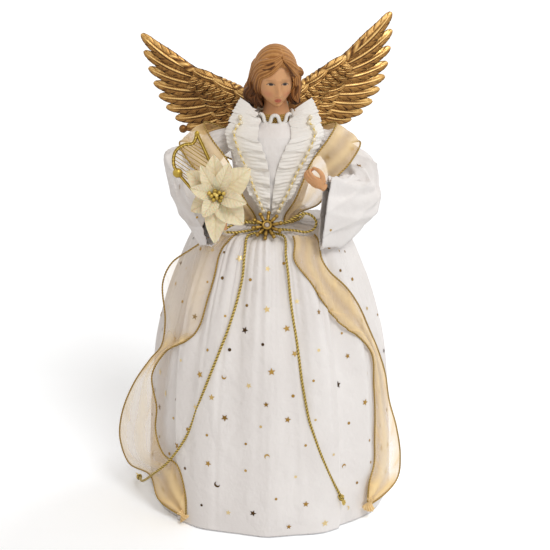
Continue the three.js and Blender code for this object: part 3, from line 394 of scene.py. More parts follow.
class Finish(Nodes):
    """A material's node tree, with what only the finishes need."""

    def __init__(self, name, **settings):
        self.made = bpy.data.materials.new(name)
        self.made.use_nodes = True
        super().__init__(self.made.node_tree)
        self.shader = self.tree.nodes["Principled BSDF"]
        for key, value in settings.items():
            self.shader.inputs[key.replace("_", " ")].default_value = value

    def place(self, scale=(1, 1, 1)):
        where = self.node("ShaderNodeTexCoord").outputs["Object"]
        return self.node("ShaderNodeMapping", {"Vector": where, "Scale": scale}).outputs["Vector"]

    def noise(self, scale, detail=3.0, stretch=(1, 1, 1), rough=0.5):
        return self.node(
            "ShaderNodeTexNoise",
            {"Vector": self.place(stretch), "Scale": scale, "Detail": detail, "Roughness": rough},
        ).outputs["Fac"]

    def cells(self, scale):
        return self.node("ShaderNodeTexVoronoi", {"Vector": self.place(), "Scale": scale})

    def weave(self, scale):
        across, along = (
            self.node(
                "ShaderNodeTexWave",
                {"Vector": self.place(), "Scale": scale, "Distortion": 0.6},
                bands_direction=way,
            ).outputs["Fac"]
            for way in ("X", "Z")
        )
        return self.math("MULTIPLY", across, along)

    def about(self, noise, amount):
        """The noise as a change up and down, as large as the amount."""
        return self.math("MULTIPLY", self.math("SUBTRACT", noise, 0.5), amount)

    def value(self, name):
        return self.node("ShaderNodeAttribute", attribute_name=name).outputs["Fac"]

    def ramp(self, fac, *stops):
        made = self.node("ShaderNodeValToRGB", {"Fac": fac})
        ramp = made.color_ramp
        while len(ramp.elements) < len(stops):
            ramp.elements.new(0.5)
        for element, (place, colour) in zip(ramp.elements, stops):
            element.position = place
            element.color = (*colour, 1) if len(colour) == 3 else colour
        return made.outputs["Color"]

    def level(self, fac, low, high, start=0.0, stop=1.0):
        return self.node(
            "ShaderNodeMapRange",
            {"Value": fac, "From Min": start, "From Max": stop, "To Min": low, "To Max": high},
        ).outputs["Result"]

    def bump(self, height, depth, strength=1.0, under=None):
        inputs = {"Height": height, "Distance": depth * MM, "Strength": strength}
        if under is not None:
            inputs["Normal"] = under
        return self.node("ShaderNodeBump", inputs).outputs["Normal"]

    def set(self, **links):
        for key, value in links.items():
            self.tree.links.new(value, self.shader.inputs[key.replace("_", " ")])
        return self.made


def cloth_finish(name, light, dark, crease):
    f = Finish(name, Roughness=0.62, Sheen_Weight=0.2, Sheen_Roughness=0.4)
    tone = f.noise(26, 4, (1, 1, 0.7))
    colour = f.ramp(tone, (0.3, dark), (0.7, light))
    threads = f.bump(f.weave(420), 0.06, 0.35)
    lines = f.math("ABSOLUTE", f.math("SUBTRACT", f.noise(30, 4, (1, 1, 0.8), 0.55), 0.5))
    creases = f.bump(lines, 2.4 * crease, 0.7, f.bump(f.noise(60, 4, (1, 1, 0.75)), crease, 0.7, threads))
    return f.set(Base_Color=colour, Normal=creases, Roughness=f.level(f.noise(300, 2), 0.52, 0.7))


def organza_finish(name, colour, dark):
    """Sheer gold cloth: the veil value says how many layers are seen through at each place."""
    f = Finish(name, Roughness=0.62, Sheen_Weight=0.4, Sheen_Roughness=0.35, Specular_IOR_Level=0.2)
    streak = f.noise(70, 3)
    # the crest value, high on a fold and low in its trough, darkens the cloth down in its folds: painted
    # shade
    tone = f.ramp(
        f.math("ADD", f.math("MULTIPLY", streak, 0.3), f.math("MULTIPLY", f.value("crest"), 0.5)),
        (0.1, dark),
        (0.7, colour),
    )
    see = f.math("MULTIPLY", f.value("veil"), f.level(streak, 0.9, 1.1, 0.3, 0.7))
    see = f.math("MULTIPLY", see, f.level(f.weave(700), 0.97, 1.03), clamp=True)
    return f.set(Base_Color=tone, Alpha=see, Normal=f.bump(f.noise(420, 3, (1, 1, 0.4)), 0.03, 0.5))


def thread_finish(name, dark, middle, light, metal=0.5):
    """Twisted metal thread, with painted shade between the plies and a painted highlight on them: the crest
    value is high on a ply and low between two.
    """
    f = Finish(name, Roughness=0.36, Metallic=metal)
    fibre = f.noise(1500, 2)
    lie = f.math("ADD", f.math("MULTIPLY", f.value("crest"), 0.9), f.about(fibre, 0.3))
    colour = f.ramp(lie, (0.3, dark), (0.62, middle), (0.98, light))
    return f.set(Base_Color=colour, Normal=f.bump(fibre, 0.12, 0.6), Roughness=f.level(fibre, 0.28, 0.5))


def antique_finish(name, dark, brown, gold, light, wash):
    """Cast resin in gold paint, dark in the recesses, partly a rubbed-back wash and partly painted shade,
    with a painted highlight on the ridges.
    """
    f = Finish(name, Roughness=0.4, Metallic=0.7)
    patches = f.noise(55, 4)
    speck = f.noise(420, 3)
    lie = f.math("SUBTRACT", f.value("crest"), f.math("MULTIPLY", f.math("SUBTRACT", 0.62, patches), wash))
    lie = f.math("ADD", lie, f.about(speck, 0.35))
    colour = f.ramp(lie, (0.05, dark), (0.32, brown), (0.62, gold), (0.95, light))
    return f.set(Base_Color=colour, Normal=f.bump(speck, 0.1, 0.4), Roughness=f.level(lie, 0.55, 0.3))


def skin_finish():
    f = Finish("skin", Roughness=0.5, Subsurface_Weight=0.08, Subsurface_Scale=0.004)
    f.shader.inputs["Subsurface Radius"].default_value = (1.0, 0.45, 0.25)
    tone = f.ramp(f.noise(120, 3), (0.3, (0.65, 0.34, 0.15)), (0.7, (0.73, 0.395, 0.19)))
    tone = f.mix(f.value("shade"), tone, (0.34, 0.13, 0.042))
    tone = f.mix(f.value("blush"), tone, (0.62, 0.2, 0.12))
    tone = f.mix(f.value("brow"), tone, (0.16, 0.07, 0.025))
    tone = f.mix(f.value("lips"), tone, (0.5, 0.085, 0.06))
    tone = f.mix(f.value("white"), tone, (0.62, 0.5, 0.4))
    tone = f.mix(f.value("eye"), tone, (0.015, 0.009, 0.006))
    return f.set(
        Base_Color=tone,
        Normal=f.bump(f.noise(900, 2), 0.05, 0.4),
        Roughness=f.level(f.noise(260, 2), 0.42, 0.58),
    )


def hair_finish():
    f = Finish("hair", Roughness=0.5, Specular_IOR_Level=0.25)
    strand = f.noise(420, 3, (1, 1, 0.3))
    # the crest carries the hair's painted shade and painted highlight
    lie = f.math("ADD", f.math("MULTIPLY", f.value("crest"), 0.9), f.about(strand, 0.25))
    colour = f.ramp(
        lie,
        (0.08, (0.035, 0.011, 0.002)),
        (0.4, (0.19, 0.07, 0.017)),
        (0.62, (0.4, 0.175, 0.05)),
        (0.95, (0.7, 0.37, 0.13)),
    )
    return f.set(Base_Color=colour, Normal=f.bump(strand, 0.12, 0.5), Roughness=f.level(strand, 0.38, 0.52))


def pearl_finish():
    f = Finish("pearl", Roughness=0.2, Coat_Weight=0.7, Coat_Roughness=0.08, Sheen_Weight=0.25)
    lustre = f.noise(260, 2)
    colour = f.ramp(lustre, (0.3, (0.78, 0.68, 0.47)), (0.7, (0.9, 0.83, 0.66)))
    return f.set(
        Base_Color=colour, Normal=f.bump(f.noise(700, 2), 0.03, 0.3), Roughness=f.level(lustre, 0.16, 0.3)
    )


def petal_finish():
    """Ivory cloth with a fine fibre, a few specks of glitter, and painted shade in its folds and near its
    root.
    """
    f = Finish("petal", Roughness=0.55, Sheen_Weight=0.3, Subsurface_Weight=0.15, Subsurface_Scale=0.002)
    cells = f.cells(1300)
    glint = f.math(
        "GREATER_THAN",
        f.node("ShaderNodeSeparateColor", {"Color": cells.outputs["Color"]}).outputs[0],
        0.95,
    )
    fibre = f.noise(420, 4, (1, 1, 1), 0.6)
    lie = f.math("ADD", f.math("MULTIPLY", f.value("crest"), 0.75), f.math("MULTIPLY", fibre, 0.35))
    cloth = f.ramp(lie, (0.2, (0.36, 0.27, 0.12)), (0.5, (0.66, 0.56, 0.33)), (0.85, (0.85, 0.76, 0.54)))
    colour = f.mix(f.math("MULTIPLY", glint, 0.6), cloth, (0.9, 0.78, 0.46))
    return f.set(Base_Color=colour, Normal=f.bump(fibre, 0.25, 0.6), Roughness=f.level(glint, 0.6, 0.3))


def plain_finish(name, light, dark, roughness, metal=0.0, scale=220.0):
    f = Finish(name, Roughness=roughness, Metallic=metal)
    grain = f.noise(scale, 4)
    return f.set(
        Base_Color=f.ramp(grain, (0.3, dark), (0.7, light)),
        Normal=f.bump(grain, 0.15, 0.4),
        Roughness=f.level(grain, roughness - 0.08, roughness + 0.08),
    )


def foil_finish():
    """Stamped foil: each shape has its own painted tone from dark to bright, a painted reflection of the part
    of the room it would face.
    """
    f = Finish("foil", Roughness=0.3, Metallic=0.6)
    tone = f.math("ADD", f.value("tone"), f.about(f.noise(500, 2), 0.2))
    colour = f.ramp(
        tone,
        (0.08, (0.06, 0.028, 0.006)),
        (0.26, (0.36, 0.2, 0.04)),
        (0.72, (0.52, 0.32, 0.075)),
        (0.94, (0.85, 0.68, 0.36)),
    )
    return f.set(Base_Color=colour, Roughness=f.level(f.noise(300, 2), 0.24, 0.4))


SATIN = cloth_finish("satin", (0.875, 0.855, 0.85), (0.81, 0.785, 0.78), 2.2)
SHEER = cloth_finish("sheer", (0.9, 0.885, 0.86), (0.85, 0.83, 0.795), 0.8)
LINING = cloth_finish("lining", (0.85, 0.84, 0.8), (0.79, 0.77, 0.72), 0.4)
ORGANZA = organza_finish("organza", (0.95, 0.73, 0.4), (0.78, 0.53, 0.24))
GOLD_CORD = thread_finish("gold_cord", (0.16, 0.105, 0.015), (0.54, 0.38, 0.07), (0.95, 0.74, 0.24))
BRAID_GOLD = thread_finish("braid_gold", (0.1, 0.045, 0.006), (0.46, 0.27, 0.05), (0.85, 0.6, 0.2))
EDGE_WIRE = thread_finish("edge_wire", (0.2, 0.11, 0.015), (0.44, 0.28, 0.055), (0.68, 0.48, 0.14), 0.4)
FOIL = foil_finish()
CAST_GOLD = antique_finish(
    "cast_gold", (0.025, 0.011, 0.003), (0.17, 0.072, 0.018), (0.46, 0.235, 0.06), (0.93, 0.62, 0.24), 0.35
)
BROOCH_GOLD = antique_finish(
    "brooch_gold", (0.03, 0.015, 0.002), (0.16, 0.085, 0.014), (0.4, 0.25, 0.05), (0.8, 0.57, 0.18), 0.3
)
HARP_GOLD = antique_finish(
    "harp_gold", (0.04, 0.022, 0.002), (0.19, 0.11, 0.01), (0.42, 0.28, 0.035), (0.72, 0.53, 0.12), 0.25
)
SKIN = skin_finish()
HAIR = hair_finish()
PEARL = pearl_finish()
PETAL = petal_finish()
CARD = plain_finish("card", (0.5, 0.41, 0.3), (0.4, 0.32, 0.22), 0.88)
FOAM = plain_finish("foam", (0.86, 0.84, 0.8), (0.8, 0.78, 0.74), 0.9, 0, 900)
WOOD = plain_finish("wood", (0.45, 0.27, 0.12), (0.34, 0.19, 0.08), 0.7)
CRYSTAL = plain_finish("crystal", (0.6, 0.53, 0.47), (0.42, 0.36, 0.32), 0.16)
STEEL = plain_finish("steel", (0.5, 0.51, 0.52), (0.4, 0.41, 0.42), 0.32, 1.0)


# Cords: the two free ends, the bow and the belt


def cord_piece(name, path, nodes):
    return Shape().rope(path, CORD_RADIUS, 2, 5.4).make(name, GOLD_CORD, slot="cord", nodes=nodes)


def end_knot(name, path, node):
    """An overhand knot in the cord's end, and the frayed plies past it."""
    end = path[-1]
    way = unit(path[-1] - path[-8])
    side = unit(np.cross(way, (0, 0, 1)))
    up = np.cross(side, way)
    shape = Shape()
    t = np.linspace(0, TAU, 60)
    for turn, lift in ((0.35, 1.6), (2.4, 2.9)):
        ring = (
            end
            + np.outer(lift + 0.9 * np.sin(t + turn), way)
            + np.outer(1.5 * np.cos(t), side)
            + np.outer(1.5 * np.sin(t), up)
        )
        shape.rope(ring, CORD_RADIUS)
    knots = np.random.default_rng(5)
    for _ in range(11):
        spread = knots.uniform(-1, 1, 2)
        curl = knots.uniform(-0.8, 0.8, 2)
        s = np.linspace(0, 1, 9)
        reach = 3.2 + s * knots.uniform(5.2, 7.6)
        strand = (
            end
            + np.outer(reach, way)
            + np.outer(spread[0] * (0.5 + 1.7 * s) + curl[0] * s * s, side)
            + np.outer(spread[1] * (0.5 + 1.5 * s) + curl[1] * s * s, up)
        )
        shape.tube(strand, 0.3, 6, crest=0.9)
    return shape.make(name, GOLD_CORD, slot="cord", nodes=[node])


def cords():
    routes = {"left": (CORD_LEFT_START, CORD_LEFT), "right": (CORD_RIGHT_START, CORD_RIGHT)}
    for side, (start, rows) in routes.items():
        path = even(catmull(cord_route(start, rows), np.linspace(0, 1, 900)), 0.5)
        tail = cord_piece("cord_tail_rope_" + side, path, ["cord_tail_" + side])
        knot = end_knot("cord_knot_" + side, path, "tail_knot_" + side)
    for side, points in (("left", LOOP_LEFT), ("right", LOOP_RIGHT)):
        path = even(catmull(points, np.linspace(0, 1, 500)), 0.5)
        loop = cord_piece("bow_rope_" + side, path, ["bow_loop_" + side])
    a = np.linspace(0, TAU, 400)
    belt = np.stack([BELT_RADIUS * np.sin(a), -BELT_RADIUS * np.cos(a), np.full_like(a, WAIST + 1.6)], 1)
    cord_piece("belt_rope", belt, ["belt_cord"])
    knot = Shape()
    middle = np.array((-2.4, -36.5, WAIST + 2))
    for tilt, wide, high in ((25, 5.2, 3.6), (-25, 5.2, 3.6), (90, 3.4, 3.4)):
        t = np.linspace(0, TAU, 90)
        for depth in (-4.6, -2.3, 0, 2.3, 4.6):
            shrink = math.sqrt(1 - (depth / 8.6) ** 2)
            ring = np.stack([wide * shrink * np.cos(t), depth + 0 * t, high * shrink * np.sin(t)], 1)
            knot.rope(turned(ring, rot_y(tilt), middle), 1.1)
    knot.make("bow_knot_rope", GOLD_CORD, slot="cord", nodes=["bow_knot"])


cords()


# Base: card ring and cone, with the cone's radius and height at its foot and top

CONE_FOOT = np.array((94.7, 2.8))
CONE_TOP = np.array((20, 236.7))
CONE_WALL = 1.6


def lathe(profile, around=128):
    a = full_turn(around)
    profile = np.asarray(profile, float)
    return np.stack(
        [profile[:, :1] * np.sin(a), -profile[:, :1] * np.cos(a), profile[:, 1:] + 0 * a], -1
    )


def base():
    ring = [
        (88.7, 0), (99.5, 0), (99.7, 0.2), (99.7, 2.3), (99.5, 2.5), (88.9, 2.5), (88.7, 2.3), (88.7, 0.2)
    ]
    Shape().grid(lathe(ring), wrap_rows=True, wrap_columns=True).make(
        "base_ring_card", CARD, slot="card", nodes=["base_ring"]
    )
    outside = CONE_FOOT + (CONE_TOP - CONE_FOOT) * np.linspace(0, 1, 40)[:, None]
    inside = outside[::-1] - (CONE_WALL, 0)
    cone = Shape().grid(lathe(np.vstack([outside, inside])), wrap_rows=True, wrap_columns=True)
    a = np.radians(178)
    lap = [
        [(r * math.sin(a + w / r), -r * math.cos(a + w / r), z) for w in (-5, 0, 5)]
        for r, z in ((94.9, 3.2), (57.5, 120), (20.3, 236))
    ]
    cone.grid(np.array(lap))
    cone.make("tree_cone_card", CARD, slot="card", nodes=["tree_cone"])


base()


# Gown, its lining and its foil shapes


def fold_table(count, width, reach, drift):
    """Folds of the gown: angle, width, depth, how far down each reaches and how far it drifts."""
    ranges = ((0, TAU), width, (0.5, 1.9), reach, (-drift, drift))
    return [tuple(rng.uniform(*span) for span in ranges) for _ in range(count)]


GATHERS = fold_table(110, (0.016, 0.05), (0.3, 1.25), 0.1)
CREASES = fold_table(64, (0.012, 0.034), (0.35, 1.3), 0.16)

# Angle of each tuck's edge at the hem in degrees, the side that lies under it and its slant
TUCKS = [(-47, -1, -0.2), (33, 1, 0.03), (105, 1, 0.1), (-110, -1, 0.1), (165, 1, -0.1)]


def pleats(angle, share, table, most):
    out = np.zeros(np.broadcast(angle, share).shape)
    for middle, width, depth, reach, drift in table:
        off = np.mod(angle - middle - drift * share + math.pi, TAU) - math.pi
        grown = width * (0.75 + 1.1 * share)
        out = (
            out
            + depth * hump(off, grown) * smooth(share, 0.02, 0.2) * (1 - smooth(share, 0.5 * reach, reach))
        )
    return most * np.tanh(out / most)


def gathers(angle, share):
    """Gathers from the waist, which run out at their own heights, and a few broad waves at the hem."""
    hem = 0.7 * np.sin(7 * angle + 0.8) + 0.5 * np.sin(11 * angle + 2.1)
    hem = 0.9 * hem * smooth(share, 0.72, 1)
    for middle, way, slant in TUCKS:
        off = angle - math.radians(middle) - slant * (1 - share)
        past = way * (np.mod(off + math.pi, TAU) - math.pi)
        over = 3.4 * smooth(past, -0.55, -0.02) * (1 - smooth(past, 0, 0.03))
        under = 1.9 * smooth(past, 0, 0.03) * (1 - smooth(past, 0.1, 0.45))
        hem = hem + (over - under) * smooth(share, 0.28, 0.5)
    folds = pleats(angle, share, GATHERS, 1.8) - 1.35 * pleats(angle, share, CREASES, 2.0) + hem
    return np.maximum(folds, -2.6 + 2.5 * smooth(share, 0.86, 0.96))


def gown_surface(angle, share, lift=0.7):
    return on_skirt_share(angle, share, lift + gathers(angle, share))


def foil_outline(kind, size):
    if kind == "star":
        a = full_turn(10) + TAU / 4
        r = np.where(np.arange(10) % 2 == 0, size, 0.45 * size)
        return np.stack([r * np.cos(a), r * np.sin(a)], 1)
    if kind == "dot":
        a = full_turn(12)
        return size * np.stack([np.cos(a), np.sin(a)], 1)
    outer = np.linspace(0.6, TAU - 0.6, 12)
    inner = np.linspace(TAU - 0.85, 0.85, 12)
    rim = size * np.stack([np.cos(outer), np.sin(outer)], 1)
    bite = size * np.stack([0.42 + 0.72 * np.cos(inner), 0.78 * np.sin(inner)], 1)
    return np.vstack([rim, bite])


def scatter(width, height, spacing, count):
    """Points no closer than the spacing, the first side running round."""
    found = []
    for x, y in rng.uniform(0, 1, (count, 2)) * (width, height):
        near = ((min(abs(x - u), width - abs(x - u))) ** 2 + (y - v) ** 2 < spacing**2 for u, v in found)
        if not any(near):
            found.append((x, y))
    return found


def foil_kind():
    return rng.choice(["dot", "star", "moon"], p=[0.58, 0.37, 0.05])


# Sizes of the foil shapes, and the radius at which the gown's girth is measured for them
FOIL_SIZE = {"dot": 1.35, "star": 3.1, "moon": 2.3}
FOIL_ROUND = 92


def foil_on(shape, surface, centre, spin):
    """Lays one foil shape on a surface given in millimetres round and down.

    It is kept to its size where the surface narrows.
    """
    kind = foil_kind()
    outline = foil_outline(kind, FOIL_SIZE[kind] * rng.uniform(0.75, 1.1))
    c, s = math.cos(spin), math.sin(spin)
    x, y = centre
    around = surface(np.array((x - 1.0, x + 1, x, x)), np.array((y, y, y - 1.0, y + 1)))
    stretch = np.array(
        (np.linalg.norm(around[1] - around[0]) / 2, np.linalg.norm(around[3] - around[2]) / 2)
    )
    flat = (outline @ np.array([[c, s], [-s, c]])) / np.maximum(stretch, 0.3) + centre
    points = surface(flat[:, 0], flat[:, 1])
    n = len(points)
    if kind == "moon":
        faces = [[k, k + 1, n - 2 - k, n - 1 - k] for k in range(n // 2 - 1)]
    else:
        points = np.vstack([points, surface(np.array([x]), np.array([y]))])
        faces = [[k, (k + 1) % n, n] for k in range(n)]
    # the tone picks this shape's painted reflection, from dark to bright
    shape.add(points, faces, tone=rng.uniform(0, 1))


def gown():
    shares = np.concatenate([np.linspace(0, 0.34, 70), np.linspace(0.345, 1, 120)])
    angle = full_turn(900)
    rows = gown_surface(angle[None, :], shares[:, None])
    hem_roll = on_skirt_share(
        angle[None, :],
        np.array([[0.999], [0.985]]),
        gathers(angle[None, :], np.array([[1.0], [0.985]])) - 0.2,
    )
    skirt = Shape().grid(np.concatenate([rows, hem_roll]), wrap_columns=True).make(
        "gown_cloth", SATIN, slot="satin", nodes=["gown_skirt"]
    )
    thicken(skirt, 0.5)
    foil = Shape()

    def place(x, y):
        z = 228 - y
        return gown_surface(x / FOIL_ROUND, skirt_share(z), 1.25)

    for x, y in scatter(TAU * FOIL_ROUND, 220, 18.5, 9000):
        foil_on(foil, place, (x, y), rng.uniform(0, TAU))
    marks = foil.make("gown_foil", FOIL, slot="satin")
    down = np.linspace(skirt_share(215), skirt_share(3.2), 60)
    angle = full_turn(200)
    inner = on_skirt_share(
        angle[None, :],
        down[:, None],
        -2.7 + 0.35 * np.sin(9 * angle)[None, :] * smooth(down, 0.3, 0.9)[:, None],
        0,
    )
    petticoat = Shape().grid(inner, wrap_columns=True).make(
        "petticoat_cloth", LINING, slot="lining", nodes=["petticoat"]
    )
    thicken(petticoat, 0.4)


gown()


# Bodice and sleeves


def bodice():
    angle = full_turn(220)
    height = np.linspace(-6, 82, 110)
    h = height[:, None]
    pull = 0.25 * np.sin(21 * angle + 0.05 * h) * (1 - smooth(h, 6, 30))
    pull = pull + 0.18 * np.sin(7 * angle + 0.16 * h) * smooth(h, 15, 45)
    seam = 0.45 * hump(h - 71 - 1.5 * np.cos(angle), 0.9)
    rows = on_body(angle[None, :], h, pull - 0.25 + seam)
    cloth = Shape().grid(rows, wrap_columns=True).make(
        "bodice_cloth", SATIN, slot="satin", nodes=["bodice"]
    )
    thicken(cloth, 0.4)


ARMS = {
    "left": {
        "wire": [(14, 0, 60), (34, 0, 65), (60, -2, 46), (75, -16, 19), (62, -36, 24), (44.5, -55.5, 39)],
        "sleeve": [
            [(28, 1, 69), (4, 0, 7), (0, 10, 0)],
            [(45, 1, 63), (8, 0, 7.5), (0, 12, 0)],
            [(55, 0, 54), (10, 0, 9), (0, 13.5, -1)],
            [(66, -4, 39), (17, 0, 9), (0, 14, -8)],
            [(71, -15, 19), (17.5, -2, 1), (0, 8, -20)],
            [(61, -34, 17), (9, -7.5, 0), (0, 2, -26)],
            [(42, -55.5, 18.5), (1.5, -8.5, 0), (-2, 0, -27.5)],
        ],
        "forward": (-0.8, -0.15, 0.55),
        "thumb": (0.45, -0.55, 0.7),
        "palm": -1,
        # how far the cuff is cut back beside the thumb, as a share of the sleeve
        "room": 0.03,
    },
    "right": {
        "wire": [(-10, 0, 60), (-30, 0, 65), (-54, -3, 46), (-64, -18, 20), (-57, -36, 12), (-48, -54, 9)],
        "sleeve": [
            [(-24, 1, 69), (-4, 0, 7), (0, 10, 0)],
            [(-41, 1, 63), (-8, 0, 7.5), (0, 12, 0)],
            [(-51, 0, 54), (-10, 0, 9), (0, 13.5, -1)],
            [(-62, -3, 41), (-22, 0, 12), (0, 14, -8)],
            [(-62, -16, 20), (-14, -2, 1), (0, 8, -20)],
            [(-56, -35, 10), (-8, -6.5, 0), (0, 2, -18)],
            [(-46, -54, 7), (-6.5, -6.5, 0), (0, 0, -15)],
        ],
        "forward": (0.45, -0.85, 0.25),
        "thumb": (0, 0.28, 0.96),
        "palm": 1,
        "room": 0.0,
    },
}


# A sleeve's girth and length, as its foil shapes are laid out
SLEEVE_ROUND = 88
SLEEVE_LONG = 112


def sleeve_surface(arm, share, angle, inward=0.0):
    """A point on a sleeve, with folds that run from the shoulder and bunch at the bend of the arm."""
    share, angle = np.broadcast_arrays(np.asarray(share, float), np.asarray(angle, float))
    rows = np.array(arm["sleeve"], float)
    centre, outer, under = (
        catmull(rows[:, k], share.ravel()).reshape(share.shape + (3,)) for k in range(3)
    )
    ripple = 1 + 0.05 * share * np.cos(5 * angle)
    sag = 0.05 * np.sin(9 * angle + 5 * share) * smooth(share, 0.25, 0.6)
    wrinkle = 1 - np.abs(np.sin(3 * angle + 8 * share + 1.3 * np.sin(5 * share)))
    cross = 1 - np.abs(np.sin(4 * angle - 11 * share + 2))
    sag = sag + (0.17 * wrinkle**2.5 + 0.12 * cross**3) * smooth(share, 0.3, 0.55)
    bend = 0.055 * np.sin(34 * share + 2.2 * np.cos(angle)) * hump(share - 0.6, 0.16)
    head = 0.05 * np.sin(14 * angle) * hump(share - 0.12, 0.09)
    k = (ripple + sag + bend + head)[..., None]
    size = np.linalg.norm(outer, axis=-1, keepdims=True)
    k = k - inward / size
    return (
        centre + outer * k * np.cos(angle)[..., None] + under * k * np.sin(angle)[..., None]
        + (0, 0, WAIST)
    )


def sleeves():
    for side, arm in ARMS.items():
        share = np.linspace(0.02, 1, 110)
        angle = full_turn(120)
        flare = 0.5 * smooth(share, 0.9, 1)[:, None, None]
        beside_thumb = arm["room"] * hump(angle - 4.95, 0.7)[None, :]
        reach = share[:, None] - beside_thumb * smooth(share, 0.8, 1)[:, None]
        rows = sleeve_surface(arm, reach, angle[None, :], 0.5 - flare)
        turned_in = np.linspace(0.998, 0.955, 6)
        flare = 0.5 * smooth(turned_in, 0.9, 1)[:, None, None]
        cuff = sleeve_surface(arm, turned_in[:, None] - beside_thumb, angle[None, :], 0.85 - flare)
        cloth = Shape().grid(np.concatenate([rows, cuff]), wrap_columns=True).make(
            "sleeve_cloth_" + side, SATIN, slot="satin", nodes=["sleeve_" + side]
        )
        thicken(cloth, 0.4)
        foil = Shape()
        for x, y in scatter(SLEEVE_ROUND, SLEEVE_LONG - 2, 19, 900):
            if y > 22:
                foil_on(
                    foil,
                    lambda u, v: sleeve_surface(
                        arm, np.clip(v / SLEEVE_LONG, 0, 0.99), u * TAU / SLEEVE_ROUND, -0.15
                    ),
                    (x, y),
                    rng.uniform(0, TAU),
                )
        marks = foil.make("sleeve_foil_" + side, FOIL, slot="satin")


bodice()
sleeves()


# Head, hair and hands

HEAD = rot_z(13) @ rot_x(17) @ rot_y(2)
HEAD_CENTRE = np.array((2.5, -3, 118.5 + WAIST))
# Half sizes of the head: across, front to back, below its middle and above it
HEAD_WIDE, HEAD_DEEP, HEAD_DOWN, HEAD_UP = 16.5, 19, 25, 23


def sphere_points(level):
    """An even ball of points and faces, from a cube's sides."""
    line = np.tan(np.linspace(-1, 1, level + 1) * math.pi / 4)
    u, v = np.meshgrid(line, line, indexing="ij")
    one = np.ones_like(u)
    sides = [(u, v, one), (v, u, -one), (one, u, v), (-one, v, u), (v, one, u), (u, -one, v)]
    return [unit(np.stack(side, -1)) for side in sides]


def face_point(p):
    """The head's surface for a direction p, and the painted values there."""
    x, y = p[..., 0] * HEAD_WIDE, p[..., 1] * HEAD_DEEP
    z = p[..., 2] * np.where(p[..., 2] < 0, HEAD_DOWN, HEAD_UP)
    low = np.maximum(0, -p[..., 2])
    x = x * (1 - 0.35 * low**1.6)
    y = np.where(y > 0, y * (1 - 0.25 * low), y * (1 + 0.1 * low**2))
    front = smooth(-p[..., 1], 0.1, 0.4)

    def bump(cx, cz, wide, high):
        return np.exp(-(((x - cx) / wide) ** 2) - ((z - cz) / high) ** 2) * front

    ridge = np.where(z > -7.5, smooth(z, 5.0, -7.5), hump(z + 7.5, 1.7))
    nose = 3.7 * ridge * hump(x, 1.1 + 0.9 * ridge) * front
    nose = nose + 0.9 * (bump(-1.9, -8.4, 1.0, 1.2) + bump(1.9, -8.4, 1.0, 1.2))
    mouth = 1.0 * bump(0, -12.4, 3.0, 0.9) + 1.3 * bump(0, -14.8, 2.4, 1.0) - 0.8 * bump(0, -13.6, 2.9, 0.4)
    chin = 2.8 * bump(0, -20.6, 4.6, 3.2) - 1.0 * bump(0, -16.9, 3.4, 0.9)
    y = y - nose - mouth - chin
    eye, white, brow, cheeks = (np.zeros_like(x) for _ in range(4))
    for side in (-1, 1):
        y = y + 1.9 * bump(5.8 * side, 1.5, 3.6, 2.6)
        y = y - 1.1 * bump(5.9 * side, 0.7, 2.6, 1.7)
        y = y - 0.8 * bump(6 * side, 5.6, 4.6, 1.3)
        y = y - 0.8 * bump(8 * side, -6.5, 4, 4)
        cheeks = cheeks + bump(8 * side, -8, 3.6, 3.2)
        off = (x * side - 5.9) / 3.0
        open_part = np.clip(1 - off**2, 0, 1)
        line = 1.1 - 0.4 * off
        above, below = line + 1.2 * open_part, line - 0.75 * open_part
        inside = smooth(above - z, -0.1, 0.2) * smooth(z - below, -0.1, 0.2) * (np.abs(off) < 1) * front
        iris = smooth(1.7 - np.hypot(x * side - 5.7, z - 1.2), -0.15, 0.25)
        lash = hump(z - above, 0.42) * (np.abs(off) < 1.12) * front
        white = np.maximum(white, inside)
        eye = np.maximum(eye, np.maximum(inside * iris, 0.85 * lash))
        arch = 5.4 + 0.5 * (1 - off**2) - 0.7 * off
        brow = np.maximum(brow, 0.22 * hump(z - arch, 0.6) * (np.abs(off) < 1.25) * front)
    bow = 0.95 - 0.4 * np.abs(x) / 3 + 0.22 * np.abs(np.sin(1.2 * x))
    lips = smooth(1 - np.abs(x) / 3.3, 0, 0.25) * smooth(2.2 * bow - np.abs(z + 13.6), 0, 0.5) * front
    hollows = (
        bump(-2.7, 0, 1.3, 3.4) + bump(2.7, 0, 1.3, 3.4) + bump(-6, 3.4, 3, 0.8) + bump(6, 3.4, 3, 0.8)
    )
    under = smooth(p[..., 1], -0.6, -0.2) * smooth(low, 0.55, 0.85)
    paint = {
        "eye": eye,
        "white": 0.8 * white,
        "brow": brow,
        "lips": 0.75 * lips,
        "blush": np.clip(0.55 * cheeks, 0, 0.5),
        "shade": np.clip(0.4 * smooth(np.abs(x), 9, 15) + 0.9 * under + 0.25 * hollows, 0, 0.9),
    }
    lean = 0.12 * np.maximum(0, 2.2 - z)
    return np.stack([x + lean, y, z], -1), paint


def head():
    shape = Shape()
    for side in sphere_points(110):
        points, paint = face_point(side)
        shape.grid(turned(points, HEAD, HEAD_CENTRE), **paint)
    throat = [(4.3, 0, 81.3), (4.8, 0, 88.5), (4.4, -0.5, 95), (2.8, 0, 110.5)]
    s = np.linspace(0, 1, 40)
    path = catmull(np.array(throat) + (0, 0, WAIST), s)
    shade = smooth(s, 0.15, 0.8)[:, None] * 0.75 + np.zeros(48)
    radius = np.interp(s, (0, 0.3, 0.5, 0.7, 1), (11.3, 11.3, 10.3, 9.2, 8.4))
    shape.tube(path, radius, 48, shade=shade)
    made = shape.make("head_cast", SKIN, slot="skin", nodes=["head"])
    weld = made.modifiers.new("weld", "WELD")
    weld.merge_threshold = 0.00002


HAIR_BALL = np.array((17.8, 21.5, 22.8))
HAIR_MIDDLE = np.array((2.0, 2.5, 2))
PARTING = 4.5
